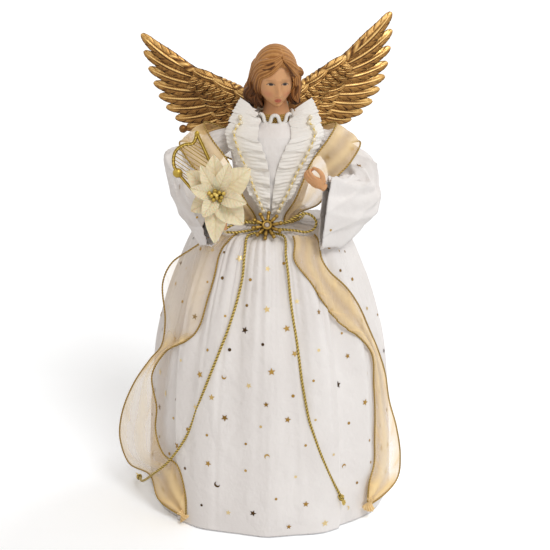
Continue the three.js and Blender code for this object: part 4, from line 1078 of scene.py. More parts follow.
# Middle and half sizes of the opening that the hair leaves for the face
FACE_MIDDLE, FACE_SIZE = (1.8, -22, -5), (13, 16, 22.6)
BACK_ROWS = {
    # side, back and nape lock of one half, from the crown to the end
    "side": [(8, 4, 16.5), (12.6, 7, 6), (15.8, 8, -8), (17.5, 9, -18), (14.5, 6, -27)],
    "back": [(4, 12, 16), (10, 19, 0), (9.5, 20, -12), (11, 18, -20), (7, 15, -29)],
    "nape": [(0, 14, 15), (0, 21, 0), (0, 21, -12), (0, 19, -20), (0, 16, -28)],
}
FRONT_LOCKS = [
    # radius and push towards the front in millimetres, then places in the picture from the parting to the end
    (
        3.1,
        0.5,
        [
            (281, 57), (275.5, 60.5), (268.5, 62.3), (261.8, 63.8), (257.3, 68), (253, 75), (250.5, 81.5),
            (250.6, 87.8), (246.6, 92.5), (246.5, 97.5), (250.5, 101.5),
        ],
    ),
    (
        3.2,
        1.0,
        [
            (281.6, 59.5), (277, 63), (270.5, 66), (263.3, 67.6), (258.8, 71), (255.8, 76.5), (253.8, 82),
            (254.2, 88.5), (250.5, 94), (250.2, 99.5), (253.5, 104),
        ],
    ),
    (
        3.0,
        1.2,
        [
            (282, 60.8), (277, 65), (271, 69.2), (265, 71.8), (260.3, 74), (257.8, 79), (256.6, 86),
            (257.6, 92.5), (254.3, 97.5), (254.8, 102.5), (257.8, 106.5),
        ],
    ),
    (
        2.2,
        1.6,
        [
            (282.2, 62), (277.3, 67.9), (271.4, 72.5), (265.8, 75.4), (261.4, 77.6), (259.6, 83),
            (259.2, 88.5), (260.4, 94), (257.8, 99), (258.3, 104), (260.8, 107.5),
        ],
    ),
    (3.4, -5.0, [(255, 85), (252.5, 91), (248.5, 96), (249, 101), (250.5, 106), (254, 109)]),
    (3.0, -5.0, [(259, 90), (261.5, 97), (260.5, 103), (262, 108)]),
    (
        2.2,
        1.6,
        [
            (284, 60.5), (287, 64), (290.4, 67.9), (293.8, 72), (296.2, 75.5), (295.3, 80.3),
            (296.3, 86.4), (293.8, 91.8), (294.7, 98.5), (298.5, 102.7),
        ],
    ),
    (
        3.1,
        1.2,
        [(282.3, 59), (287, 61.5), (291.7, 65), (296, 68.6), (299.2, 70.8), (300.4, 73.6), (298.2, 76.4)],
    ),
    (
        3.1,
        0.8,
        [
            (281.8, 57), (287, 59.5), (291.8, 63.5), (295.3, 68), (297.7, 72.5), (298, 77), (296.9, 82),
            (297.6, 87), (296.8, 92), (297.2, 97.3), (298, 102),
        ],
    ),
    (3.0, -4.0, [(296, 78), (298, 83), (297.8, 89.5), (296.5, 95.5), (297, 100.5), (295, 104.5)]),
    (2.5, -2.5, [(291.5, 90.5), (291, 95.5), (292.8, 100.5), (295, 104.5)]),
]

SHADE_GAPS = [
    # thickness in millimetres, then places in the picture of the lines of painted shade between two locks
    (0.9, [(260.1, 65.2), (264.4, 65.7), (269.8, 64.7), (274.7, 62.4)]),
    (0.9, [(261, 69.1), (265.6, 70.1), (270.4, 69.1), (275.3, 65.8)]),
    (1.1, [(254.1, 84.5), (252.8, 90), (248.6, 96.1), (251, 98.2), (254.1, 95.5)]),
    (1.2, [(259.5, 84.5), (258.3, 90.6), (257.7, 96.7), (260.7, 102.7), (262.5, 106.4)]),
    (1.1, [(297.7, 78.5), (297.7, 84.5), (296.8, 90.6), (295.3, 95.5)]),
    (0.8, [(284.6, 62.6), (288.6, 68.3), (292.2, 73.8), (294.7, 77.9)]),
]


def seen(u, v, y):
    """The point at depth y that the camera shows at place (u, v) of the picture."""
    focus = camera_data.lens / camera_data.sensor_width * PICTURE
    down = math.radians(CAMERA_TILT)
    t = (PICTURE / 2 + PICTURE * camera_data.shift_y - v) / focus
    ahead = y - camera.location.y / MM
    z = ahead * (math.cos(down) * t - math.sin(down)) / (math.cos(down) + math.sin(down) * t)
    x = (
        (u - PICTURE / 2 + PICTURE * camera_data.shift_x)
        * (math.cos(down) * ahead - math.sin(down) * z) / focus
    )
    return np.stack([x, y + 0 * x, z + camera.location.z / MM], -1)


def on_hair(places, push):
    """Points on the hair's ball, or beside it, at places in the picture."""
    places = np.asarray(places, float)
    eye = np.array(camera.location) / MM
    way = unit(seen(places[:, 0], places[:, 1], 0.0) - eye)
    a = ((eye - HEAD_CENTRE) @ HEAD - HAIR_MIDDLE) / HAIR_BALL
    b = (way @ HEAD) / HAIR_BALL
    square, cross = (b * b).sum(1), (b * a).sum(1)
    root = np.maximum(cross**2 - square * ((a * a).sum() - 1), 0)
    return eye + way * ((-cross - np.sqrt(root)) / square - push)[:, None]


def lock(shape, path, radius, beat, dark=0.0, end=0.2):
    """One lock: a tapering bar with grooves that turn slowly along it, with painted shade in its grooves and
    more towards its end.
    """
    s = np.linspace(0, 1, len(path))
    reach = radius * (0.5 + 0.5 * smooth(s, 0, 0.25)) * (1 - 0.72 * smooth(s, 0.8, 1.0))
    angle = full_turn(40)
    turn = angle[None, :] + 1.1 * s[:, None]
    groove = swell(7 * turn + beat + 0.7 * np.sin(9 * s)[:, None])
    fine = swell(17 * turn + 2 * beat)
    crest = (0.5 + 0.3 * groove + 0.14 * fine) * (1 - dark) - end * smooth(s, 0.35, 0.9)[:, None]
    shape.tube(path, reach[:, None] * (0.87 + 0.1 * groove + 0.03 * fine), 40, crest=np.clip(crest, 0, 1))


def hair():
    shape = Shape()
    beats = np.random.default_rng(3)
    for radius, push, places in FRONT_LOCKS:
        path = catmull(on_hair(places, push), np.linspace(0, 1, 70))
        # locks that lie behind others get painted shade, and the locks at the picture's left get more painted
        # shade towards their ends
        lock(
            shape,
            path,
            radius,
            beats.uniform(0, TAU),
            0.52 if push < 0 else 0.0,
            0.54 if places[-1][0] < 270 else 0.2,
        )
    for radius, places in SHADE_GAPS:
        lock(shape, catmull(on_hair(places, 3.6), np.linspace(0, 1, 50)), radius, 0.0, 0.62, 0.0)
    rows = np.array(list(BACK_ROWS.values()), float)
    axis = np.array((0, 3.0, 0))
    for side in (-1, 1):
        for layer, count, out in ((0, 8, 0.4), (1, 7, 1.6)):
            for k in range(count):
                v = (k + 0.5 * layer) / (count - 0.4)
                points = (
                    np.array([catmull(rows[:, n], [v])[0] for n in range(5)]) * (side, 1, 1) + (1.5, 0, 0)
                )
                s = np.linspace(0, 1, 50)
                path = catmull(points, s)
                radial = unit((path - axis) * (1, 1, 0.15))
                sideways = unit(np.cross(radial, (0, 0, 1.0)))
                beat = beats.uniform(0, TAU)
                swing = np.cos(TAU * 1.6 * s + beat)[:, None]
                path = path + radial * (out + 0.7 * swing) * smooth(s, 0, 0.25)[:, None]
                path = (
                    path
                    + sideways * 1.1 * np.sin(TAU * 1.6 * s + beat)[:, None] * smooth(s, 0.15, 0.5)[:, None]
                )
                lock(shape, turned(path, HEAD, HEAD_CENTRE), 3.6 * beats.uniform(0.9, 1.1), beat)
    for part in sphere_points(110):
        ball = part * HAIR_BALL + HAIR_MIDDLE
        opening = ((ball - FACE_MIDDLE) / FACE_SIZE) ** 2
        keep = (opening.sum(-1) > 1).ravel()
        round_side = np.arctan2(ball[..., 0] - PARTING, 4 + np.maximum(ball[..., 2], 0))
        comb = part[..., 1] - 0.3 * np.abs(round_side) + 0.12 * np.sin(3 * round_side)
        strand = swell(34 * comb + 1.5 * np.sin(5 * comb))
        fine = swell(95 * comb + 2 * round_side)
        parted = (
            hump(ball[..., 0] - PARTING, 0.7) * smooth(ball[..., 2], 8, 16) * smooth(-ball[..., 1], -8, 2)
        )
        lift = 0.34 * strand + 0.1 * fine - 0.25 * parted
        cap = ball + part * lift[..., None]
        n = len(part)
        index = np.arange(n * n).reshape(n, n)
        quads = np.stack(
            [index[:-1, :-1], index[:-1, 1:], index[1:, 1:], index[1:, :-1]], -1
        ).reshape(-1, 4)
        quads = [q for q in quads.tolist() if all(keep[c] for c in q)]
        # painted shade between the strands and a painted highlight along the parting
        crest = np.clip(0.58 + 0.24 * strand + 0.14 * fine + 0.1 * parted, 0, 1)
        shape.add(turned(cap, HEAD, HEAD_CENTRE).reshape(-1, 3), quads, crest=crest)
    shape.make("hair_cast", HAIR, slot="hair", nodes=["hair"])


def hand_frame(arm):
    x = unit(np.array(arm["forward"], float))
    y = unit(np.cross(np.array(arm["thumb"], float), x))
    return np.stack([x, y, np.cross(x, y)], 1), np.array(arm["wire"][-1], float) + (0, 0, WAIST)


def hands():
    for side, arm in ARMS.items():
        rotation, origin = hand_frame(arm)
        palm = np.array((1, arm["palm"], 1))
        shape = Shape()
        s = np.linspace(0, 1, 24)

        def limb(points, radii):
            path = catmull(np.array(points, float) * palm, s)
            radius = np.interp(s, np.linspace(0, 1, len(radii)), radii)
            shape.tube(turned(path, rotation, origin), radius, 16)
            shape.ball(turned(path[-1], rotation, origin), (radii[-1],) * 3, 12, 8)

        limb([(1, 0, 0), (4, 0, 0), (8, 0, 0)], [3.3, 3.2, 4])
        shape.ball(turned((9.2, 0, 0), rotation, origin), (7, 2.9, 5.6), 24, 16, rotation)
        for z, reach, size in ((3.9, 0, 1), (1.3, 1.0, 1.03), (-1.3, 0.6, 1), (-3.6, -1.2, 0.88)):
            limb(
                [
                    (9.4, 0, z),
                    (13.5, -0.2, z),
                    (17 + reach * 0.6, 0.6, z),
                    (20 + reach * 0.5, 3.6, 0.95 * z),
                    (17.3, 6.4, 0.9 * z),
                ],
                [1.5 * size, 1.35 * size, 1.4 * size, 1.25 * size, 1.05 * size],
            )
        limb([(5.5, 0.6, 3.6), (10.5, 2.5, 8.0), (14.5, 4.2, 8.2), (18.2, 6, 6)], [2.2, 1.9, 1.6, 1.2])
        made = shape.make("hand_cast_" + side, SKIN, "hand_" + side, "skin", ["hand_" + side])
        remesh = made.modifiers.new("remesh", "REMESH")
        remesh.mode = "VOXEL"
        remesh.voxel_size = 0.0004
        remesh.use_smooth_shade = True
        soften = made.modifiers.new("soften", "SMOOTH")
        soften.factor = 0.5
        soften.iterations = 2


head()
hair()
hands()


# Collar, ruffles and pearls

RUFFLE_INNER = [(62, 92, 2.4), (38, 82, 2), (16, 67, 1.2), (6, 50, 1), (2, 28, 1), (1.5, 9, 1)]
RUFFLE_OUTER = [(82, 101, 12.5), (76, 84, 21), (62, 70, 9), (47, 50, 4), (31, 30, 5), (14, 10, 2.5)]
PEARL_LINE = 0.3
COLLAR_X = 4
COLLAR_RADIUS = 11.5
RICKRACK_RADIUS = 14.2


def between(inner, outer, t, j, form, extra=0.0):
    """A sheet between two edge curves, t along it and j across it from -1 to 1."""
    a, b = (catmull(row, np.ravel(t)).reshape(np.shape(t) + (3,)) for row in (inner, outer))
    w = ((np.asarray(j) + 1) / 2)[..., None]
    p = a * (1 - w) + b * w
    return form(np.radians(p[..., 0]), p[..., 1], p[..., 2] + extra)


def ruffle_rows(side):
    flip = np.array((side, 1, 1))
    return np.array(RUFFLE_INNER) * flip, np.array(RUFFLE_OUTER) * flip


def ruffle_depth(j):
    return 2.2 * (0.3 + 0.7 * ((np.asarray(j) + 1) / 2) ** 2)


def ruffles():
    for side, name in ((1, "left"), (-1, "right")):
        inner, outer = ruffle_rows(side)
        t, j = np.meshgrid(np.linspace(0, 1, 460), np.linspace(-1, 1, 60), indexing="ij")
        folds = np.random.default_rng(30 + side)
        steps = (np.arange(-1, 11) + folds.uniform(-0.16, 0.16, 12)) / 8
        along = t + 0.012 * np.sin(3 * j + 20 * t)
        step = np.searchsorted(steps, along, side="right") - 1
        phase = (along - steps[step]) / (steps[step + 1] - steps[step])
        pleat = (
            1.7 * phase**1.5 * (1 - smooth(phase, 0.9, 1))
            * (0.45 + 0.55 * smooth(np.abs(j - PEARL_LINE), 0.05, 0.6))
        )
        frill = (
            np.sin(TAU * 10 * t + 1.3 * np.sin(13 * t)) * smooth(-j, 0.3, 1.0) * (0.8 if side > 0 else 2.0)
        )
        fine = (
            0.3 * np.sin(TAU * 31 * t + 2.5 * np.sin(9 * t) + 1.5 * j)
            * smooth(np.abs(j - PEARL_LINE), 0.05, 0.5)
        )
        soft = 0.5 + 0.5 * np.sin(TAU * 5 * t + 0.9 * j)
        wave = np.maximum(pleat + frill + fine, -0.3) + ruffle_depth(j) * soft * smooth(j, -0.4, 0.6) * 0.7
        rows = between(inner, outer, t, j, on_body, wave)
        cloth = Shape().grid(rows).make(
            "ruffle_cloth_" + name, SHEER, slot="sheer", nodes=["ruffle_" + name]
        )
        thicken(cloth, 0.25)
        pearl_strand(side, name, inner, outer)


def pearl_strand(side, name, inner, outer):
    lift = ruffle_depth(PEARL_LINE)

    def place(t, j):
        return between(inner, outer, np.atleast_1d(t), np.full(np.size(t), j), on_body, lift)

    t = np.linspace(0.16, 0.96, 400)
    along = place(t + 1e-3, PEARL_LINE) - place(t - 1e-3, PEARL_LINE)
    across = place(t, PEARL_LINE + 1e-3) - place(t, PEARL_LINE - 1e-3)
    path = place(t, PEARL_LINE) + unit(np.cross(along, across)) * side * 2.4
    centres = even(path, 5.8)
    beads = Shape()
    for centre in centres:
        beads.ball(centre, (1.9, 1.9, 1.9), 24, 14)
    beads.make("pearls_" + name, PEARL, slot="pearl", nodes=["pearl_strand_" + name])
    links = Shape().rope(path, 0.45, 2, 2.6, 10)
    for a, b in zip(centres[:-1], centres[1:]):
        way = unit(b - a)
        for off in (-0.6, 0.6):
            links.ball((a + b) / 2 + off * way, (0.75, 0.75, 0.75), 12, 8, crest=0.95)
    links.make("pearl_links_" + name, GOLD_CORD, slot="cord")


def collar():
    a = full_turn(240)
    rows = []
    crest = []
    for k, z in enumerate(np.linspace(81.6, 88.4, 60)):
        braid = swell(40 * a + 2.2 * math.sin(TAU * k / 15))
        r = COLLAR_RADIUS + 1.0 * braid
        rows.append(np.stack([COLLAR_X + r * np.sin(a), -r * np.cos(a), np.full_like(a, z + WAIST)], 1))
        crest.append(0.45 + 0.55 * braid)
    band = Shape().grid(np.array(rows), wrap_columns=True, crest=np.array(crest))
    band.make("collar_braid", BRAID_GOLD, slot="cord", nodes=["collar_braid_gold"])
    t = np.linspace(0, TAU, 600)
    bent = t + 0.3 / 7 * np.sin(14 * t)
    x, y = COLLAR_X + RICKRACK_RADIUS * np.sin(bent), -RICKRACK_RADIUS * np.cos(bent)
    path = np.stack([x, y, 84.9 + WAIST + 3.6 * np.cos(7 * t)], 1)
    white = Shape().rope(path, 1.7, 3, 3.8, 18)
    white.make("collar_rickrack", SHEER, slot="satin", nodes=["collar_braid_white"])


ruffles()
collar()


# Stole and its two tails: wired organza

STOLE_CHORD = math.sqrt(26.2**2 - 64)
BELT_OUT = math.sin(math.radians(45))


def belt_row(height):
    return [
        (STOLE_CHORD * BELT_OUT, -STOLE_CHORD * BELT_OUT, height),
        (8 * BELT_OUT, 8 * BELT_OUT, 0),
        ((26.2 - STOLE_CHORD) * BELT_OUT, -(26.2 - STOLE_CHORD) * BELT_OUT, 0),
    ]


STOLE_HALF = [
    [(0, 33, 42), (0, 0, -13), (0, 0, 0)],
    [(40, 23, 58), (3, 3, -12), (1, 1, 0)],
    [(63.5, 1, 71), (10, 0, -8), (1, 0, 1)],
    [(56, -20.5, 61), (9, -2, -9), (0, -1, 0)],
    [(42, -30, 46), (8.6, -3.4, -7), (0, -1.5, 0)],
    [(30, -33, 22), (9.4, 0.3, -2), (1, -2, 0)],
    belt_row(5.5),
    belt_row(-0.5),
]
TAIL_LEFT = {
    "inner": [
        (20, 234.5, 4), (17, 224, 3.4), (25, 206, 2.4), (33, 187, 2.3), (43, 168, 2.4), (54, 152, 3),
        (62, 135, 4),
        (61, 113, 3), (60, 89, 3), (58, 65, 3), (57, 46, 3.2), (51, 33, 5), (49, 16, 6),
    ],
    "outer": [
        (42, 234.5, 4), (39, 222, 3.7), (42, 211, 3.6), (50, 196, 4), (57, 178, 5), (64, 157, 5),
        (70, 136, 5), (74, 112, 6), (75, 88, 7), (72, 66, 14), (71, 42, 17), (69, 22, 15), (51, 14, 8),
    ],
}
TAIL_RIGHT = {
    "inner": [
        (-32, 236, 3), (-39, 226, 3), (-38, 209, 3), (-39, 191, 3), (-41, 168, 3), (-47, 155, 3),
        (-62, 138, 5), (-66, 117, 12), (-64, 90, 7), (-64, 70, 7), (-56, 54, 6), (-48, 50, 5),
        (-42, 28, 5), (-41, 9, 6),
    ],
    "outer": [
        (-50, 234, 4), (-58, 221, 10), (-65, 206, 19), (-67, 190, 20), (-65, 164, 10), (-66, 142, 7),
        (-73, 126, 12), (-77, 103, 22), (-83, 68, 29), (-85, 44, 29), (-83, 25, 22), (-66, 28, 10),
        (-58, 13, 9), (-45, 6, 6),
    ],
}


def ribbon(name, rows, veil, crest, nodes, twist=None):
    """A ribbon through rows of points, with a wire in each edge and, where asked, a twisted end."""
    cloth = Shape().grid(rows, veil=veil, crest=crest).make(
        name + "_organza", ORGANZA, slot="ribbon", nodes=nodes
    )
    edges = Shape()
    for edge in (rows[:, 0], rows[:, -1]):
        edges.rope(edge, 0.8, 2, 4.6, 12)
    others = [edges.make(name + "_edges", EDGE_WIRE, slot="ribbon")]
    if twist is not None:
        others.append(twisted_end(name + "_twist", rows[-1].mean(axis=0), twist))


def twisted_end(name, start, way):
    """The ribbon's last few millimetres, pinched and fanned out again."""
    s = np.linspace(0, 1, 30)
    angle = full_turn(72)
    path = np.asarray(start) - 4 * unit(np.asarray(way, float)) + np.outer(s, way)
    turn = angle[None, :] + 1.6 * s[:, None]
    # the crease is also the crest: painted shade in the pinched creases and painted highlight on their ridges
    crease = swell(9 * turn + 1.5 * np.sin(2 * turn))
    reach = (
        (2.0 + 3.4 * smooth(s, 0.35, 0.95) + 1.6 * (1 - smooth(s, 0, 0.35)))[:, None]
        * (0.68 + 0.32 * crease)
    )
    return Shape().tube(path, reach, 72, crest=crease, veil=1.0).make(name, ORGANZA, slot="ribbon")


def stole():
    half = np.array(STOLE_HALF, float)
    rows = np.concatenate([half[:0:-1] * (-1, 1, 1), half])
    t, j = np.meshgrid(np.linspace(0, 1, 420), np.linspace(-1, 1, 61), indexing="ij")
    centre, wide, lift = (catmull(rows[:, k], t[:, 0])[:, None] for k in range(3))
    points = centre + wide * j[..., None] + lift * (1 - j**2)[..., None]
    along = unit(np.gradient(points, axis=0))
    normal = unit(np.cross(along, np.gradient(points, axis=1)))
    near_belt = smooth(np.abs(2 * t - 1), 0.6, 0.95)
    fold = np.sin(6 * j + 3 * np.sin(7 * t) + 6 * np.abs(2 * t - 1))
    folds = 0.5 * fold * (0.6 + 0.7 * near_belt) + 0.3 * np.sin(40 * t + 3 * j)
    points = points + normal * (folds * (1 - j**2))[..., None] + (0, 0, WAIST)
    veil = 0.6 + 0.18 * near_belt + 0.12 * fold
    ribbon(
        "stole",
        points,
        veil,
        0.5 + 0.5 * fold,
        ["stole"],
    )


# How thick the cloth of each tail looks, from the belt to the hem
VEIL_LEFT = [(0, 0.5), (0.3, 0.55), (0.5, 0.6), (0.62, 0.5), (0.88, 0.48), (0.94, 0.9), (1, 0.95)]
VEIL_RIGHT = [
    (0, 0.45), (0.1, 0.22), (0.33, 0.18), (0.4, 0.82), (0.47, 0.78), (0.55, 0.36), (0.84, 0.42),
    (0.93, 0.85), (1, 0.95),
]


def bridged(angle, share):
    """The gathers as a ribbon lies over them: it spans the dips and rounds the edges of the tucks."""
    steps = np.linspace(-0.14, 0.14, 4)
    spans = [np.max([gathers(angle + a + b, share) for b in steps], axis=0) for a in steps]
    return np.mean(spans, axis=0)


def tails():
    for side, edges, length, veils, twist in (
        ("left", TAIL_LEFT, 0.26, VEIL_LEFT, (-2, 0, -10)),
        ("right", TAIL_RIGHT, 0.28, VEIL_RIGHT, (5, -3, -6)),
    ):
        t, j = np.meshgrid(np.linspace(0, 1, 360), np.linspace(-1, 1, 61), indexing="ij")
        fold = np.sin(6 * j + 3 * np.sin(6 * t) + 7 * t)
        crinkle = np.abs(np.sin(38 * t + 3 * np.sin(5 * t) + 2.5 * np.abs(j)))
        crinkle = (1 - crinkle) ** 3 * smooth(np.abs(j), 0.15, 0.7) * smooth(t, 0.08, 0.25)
        crease = 0.5 * fold + 1.1 * crinkle
        a, b = (catmull(edges[name], t.ravel()).reshape(t.shape + (3,)) for name in ("inner", "outer"))
        place = a + (b - a) * ((j + 1) / 2)[..., None]
        angle, share = np.radians(place[..., 0]), skirt_share(place[..., 1])
        lift = np.maximum(place[..., 2] + 0.8 * crease * (1 - j**2), bridged(angle, share) + 1.4)
        veil = np.interp(t, *zip(*veils)) * (1 + 0.24 * fold + 0.5 * crinkle)
        ribbon(
            "stole_tail_" + side,
            on_skirt_share(angle, share, lift),
            veil,
            0.5 + 0.5 * fold,
            ["stole_tail_" + side],
            twist,
        )


stole()
tails()


# Brooch

RAYS = 10

def brooch():
    tilt, middle = rot_x(-42), np.array((-2.4, -45, WAIST + 5))
    gold = Shape()
    reach = np.linspace(3.0, 12.9, 48)
    knob = np.sqrt(np.clip(1 - ((reach - 11.3) / 1.6) ** 2, 0, 1))
    rod = (0.95 + 0.55 * smooth(reach, 4, 8)) * (1 - smooth(reach, 11, 12))
    waist = hump(reach - 9.7, 0.45)
    size = np.maximum(np.maximum(rod * (1 - 0.2 * waist), 1.65 * knob), 0.06)
    # rays darker at their notch and near the middle under the ring: painted shade
    crest = np.clip(0.64 - 0.35 * waist - 0.4 * (1 - smooth(reach, 3.6, 5.5)), 0, 1)
    for i in range(RAYS):
        a = TAU * (i + 0.3) / RAYS
        ray = np.stack([reach * math.cos(a), 0.25 - 0.1 * reach, reach * math.sin(a)], 1)
        gold.tube(turned(ray, tilt, middle), size, 20, crest=crest[:, None] + np.zeros(20))
    t = np.linspace(0, TAU, 90)
    ring = np.stack([3.1 * np.cos(t), np.full_like(t, -1.7), 3.1 * np.sin(t)], 1)
    gold.tube(turned(ring, tilt, middle), 0.95, 18, crest=0.7)
    # a dark disc behind the rays: painted shade under the brooch
    gold.ball(turned((0, 0.4, 0), tilt, middle), (6.2, 1.5, 6.2), 32, 16, tilt, crest=0.05)
    gold.make("brooch_cast", BROOCH_GOLD, slot="cast_gold", nodes=["brooch"])
    gem = Shape().ball(turned((0, -1.4, 0), tilt, middle), (2.1, 1.6, 2.1), 32, 20, tilt)
    gem.make("brooch_gem", CRYSTAL, slot="pearl", nodes=["brooch_pearl"])


brooch()


# Wings

WING_EDGE = [(12, 12), (27, 23), (45, 32), (62, 39), (86, 56)]


def feather_row(roots, tips, count, width, front, droop):
    """One row: places of its roots and tips, then its number of feathers and their shape."""
    return {"roots": roots, "tips": tips, "count": count, "width": width, "front": front, "droop": droop}


FEATHER_ROWS = [
    feather_row(
        [(60, 38), (55, 32), (50, 27), (45, 22), (39, 16), (33, 11), (27, 6), (21, 2)],
        [(110, 74), (109, 55), (105, 37), (101, 22), (94, 9), (84, -3), (71, -11), (56, -15)],
        count=10,
        width=12.5,
        front=0,
        droop=3.0,
    ),
    feather_row([(42, 33), (40, 17), (28, -4)], [(68, 44), (63, 20), (45, -10)], 9, 10, 2.6, 1.6),
    feather_row([(27, 24), (25, 10), (17, -4)], [(48, 35), (44, 15), (31, -8)], 8, 9, 4.2, 1.0),
    feather_row([(12, 15), (12, 6), (10, -3)], [(31, 25), (28, 10), (20, -6)], 6, 8, 5.4, 0.6),
]
WING_POSE = rot_y(-5)
WING_ORIGIN = np.array((3.2, 30.9, 75 + WAIST))


def wing_place(points, side):
    blade = turned(points, rot_z(16), (0, 6.3, 0)) * (side, 1, 1)
    return turned(blade, WING_POSE, WING_ORIGIN)


def feather(shape, side, root, tip, width, front, droop, beat, steps=84):
    """A cast feather: a raised shaft, slanting barbs with a few splits, and a round tip.

    Its recesses have a low crest value, for wash and painted shade; its upper edge and tip are lighter and
    its root darker as painted light and shade, and the left wing is painted a little lighter than the right.
    """
    root, tip = np.array((root[0], 0, root[1]), float), np.array((tip[0], 0, tip[1]), float)
    along = tip - root
    far = np.linalg.norm(along)
    up = np.array((-along[2], 0, along[0])) / far
    s = np.linspace(0, 1, steps)[:, None]
    q = np.linspace(-1, 1, 33)[None, :]
    round_end = min(0.34, 0.7 * width / far)
    wide = (0.55 + 0.45 * smooth(s, 0, 0.5)) * (1 - 0.4 * smooth(s, 0.5, 1))
    wide = wide * np.sqrt(np.clip(1 - np.maximum(0, (s - 1 + round_end) / round_end) ** 2, 0, 1))
    slant = s * far - np.abs(q) * width * 0.75
    barb = swell(TAU * slant / 1.9 + 0.8 * np.sin(beat + 0.35 * slant))
    split = np.mod(slant / 8.5 + 0.21 * beat + 0.3 * (q > 0), 1)
    split = hump(split - 0.5, 0.07) * smooth(np.abs(q), 0.3, 0.7)
    shaft = hump(q, 0.1) * (1 - smooth(s, 0.84, 0.97))
    beside = hump(np.abs(q) - 0.24, 0.08) * (1 - smooth(s, 0.7, 0.95))
    rim = smooth(np.abs(q), 0.84, 1.0)
    depth = (
        0.4 - 1.5 * (1 - np.abs(q) ** 2.4) - 0.9 * shaft + 0.45 * beside
        - 0.5 * barb * (1 - shaft) * (1 - rim) + 0.9 * split
    )
    bow = -front - 1.8 * np.sin(math.pi * s)
    middle = root + s[..., None] * along - (droop * 4 * s * (1 - s))[..., None] * up
    face = middle + (q * wide * width / 2)[..., None] * up
    face[..., 1] = bow + (depth + 1.1 * q) * (0.35 + 0.65 * wide)
    back = middle + (q[:, ::-1] * wide * width / 2)[..., None] * up
    back[..., 1] = (
        bow
        + (0.4 + 1.2 * (1 - q[:, ::-1] ** 2) + 0.5 * hump(q, 0.13) + 1.1 * q[:, ::-1]) * (
            0.35 + 0.65 * wide
        )
    )
    # painted light and shade: the left wing (side 1) a little lighter and the right wing darker, the upper
    # edge lighter, the root under the coverts darker and the tip lighter
    lie = (
        0.43 + 0.03 * side + 0.38 * barb + 0.45 * shaft - 0.4 * beside - 0.4 * rim - 0.6 * split + 0.16 * q
    )
    lie = np.clip(lie + 0.12 * smooth(s, 0.6, 1) - 0.4 * (1 - smooth(s, 0.0, 0.35)), 0, 1)
    dull = np.clip(0.45 + 0.3 * hump(q, 0.13) - 0.3 * np.abs(q) + 0 * s, 0, 1)
    rings = np.concatenate([face, back[:, 1:-1]], axis=1)
    shape.grid(
        wing_place(rings, side),
        wrap_columns=True,
        cap=True,
        crest=np.concatenate([lie, dull[:, 1:-1]], axis=1),
    )


def wings():
    for side, name in ((1, "left"), (-1, "right")):
        shape = Shape()
        cast = np.random.default_rng(21)
        for row in FEATHER_ROWS:
            places = np.linspace(0, 1, row["count"])
            roots, tips = (
                catmull([(u, v, 0) for u, v in row[end]], places)[:, :2] for end in ("roots", "tips")
            )
            for root, tip in zip(roots, tips):
                stray = cast.uniform(-0.9, 0.9, 2) * (row["front"] > 0)
                width = row["width"] * cast.uniform(0.93, 1.05)
                feather(
                    shape, side, root, tip + stray, width, row["front"], row["droop"], cast.uniform(0, TAU)
                )
        rib = catmull([(u, -1, v) for u, v in WING_EDGE], np.linspace(0, 1, 160))
        s = np.linspace(0, 1, 160)
        angle = full_turn(28)
        lump = swell(TAU * (s[:, None] * 15 + 0.3 * np.sin(17 * s[:, None])) + 2 * angle[None, :])
        reach = np.interp(s, (0, 0.33, 0.67, 1), (5.0, 4.6, 3.8, 2.2))[:, None] * (0.88 + 0.12 * lump)
        shape.tube(wing_place(rib, side), reach, 28, crest=0.25 + 0.6 * lump)
        for row, (start, drop, count) in enumerate(((0.04, 2.5, 10), (0.0, 7, 8))):
            for k in range(count):
                u, v = catmull(WING_EDGE, [start + 0.74 * (k + 0.4 * (row % 2)) / count])[0]
                root = np.array((u + 0.35 * drop, v - drop)) + cast.uniform(-0.8, 0.8, 2)
                tip = root + (11 + cast.uniform(-1, 1.5), -1.5 - 0.5 * row + cast.uniform(-1, 1))
                feather(shape, side, root, tip, 7.5, 5.6 - 0.6 * row, 0.4, cast.uniform(0, TAU), 40)
        if side < 0:
            stalk = catmull([(66, -1, -8), (74, -1, -9.5), (81, -1, -8.5)], np.linspace(0, 1, 20))
            shape.tube(wing_place(stalk, side), np.linspace(1.6, 1.2, 20), 14, crest=0.4)
            shape.ball(wing_place(stalk[-1], side), (3.6, 3.2, 3.6), 28, 18, crest=0.42)
        plate_rows = []
        for x in np.linspace(3, 25, 24):
            y0, y1 = 2.85, 6.25
            soft = 0.5 * smooth(abs(x - 14), 9.5, 11)
            plate_rows.append(
                [
                    (x, y0 + soft, -3.5 + soft),
                    (x, y0 + soft, 11.5 - soft),
                    (x, y1 - soft, 11.5 - soft),
                    (x, y1 - soft, -3.5 + soft),
                ]
            )
        plate = np.array(plate_rows, float) * (side, 1, 1)
        shape.grid(turned(plate, WING_POSE, WING_ORIGIN), wrap_columns=True, cap=True, crest=0.35)
        shape.make("wing_cast_" + name, CAST_GOLD, slot="cast_gold", nodes=["wing_" + name])


wings()


# Harp and flower, which the right hand carries

HARP_DEPTH = -67
STRINGS = 13
HARP_PEAK, HARP_FOOT = (-56.5, 86.5), (-41, 17)
HARP_NECK = [HARP_PEAK, (-59.5, 79), (-67, 77.5), (-73.5, 72), (-75, 62), (-72, 55)]
HARP_BOX = [HARP_PEAK, (-51, 74), (-45.6, 60), (-42.5, 40), HARP_FOOT]


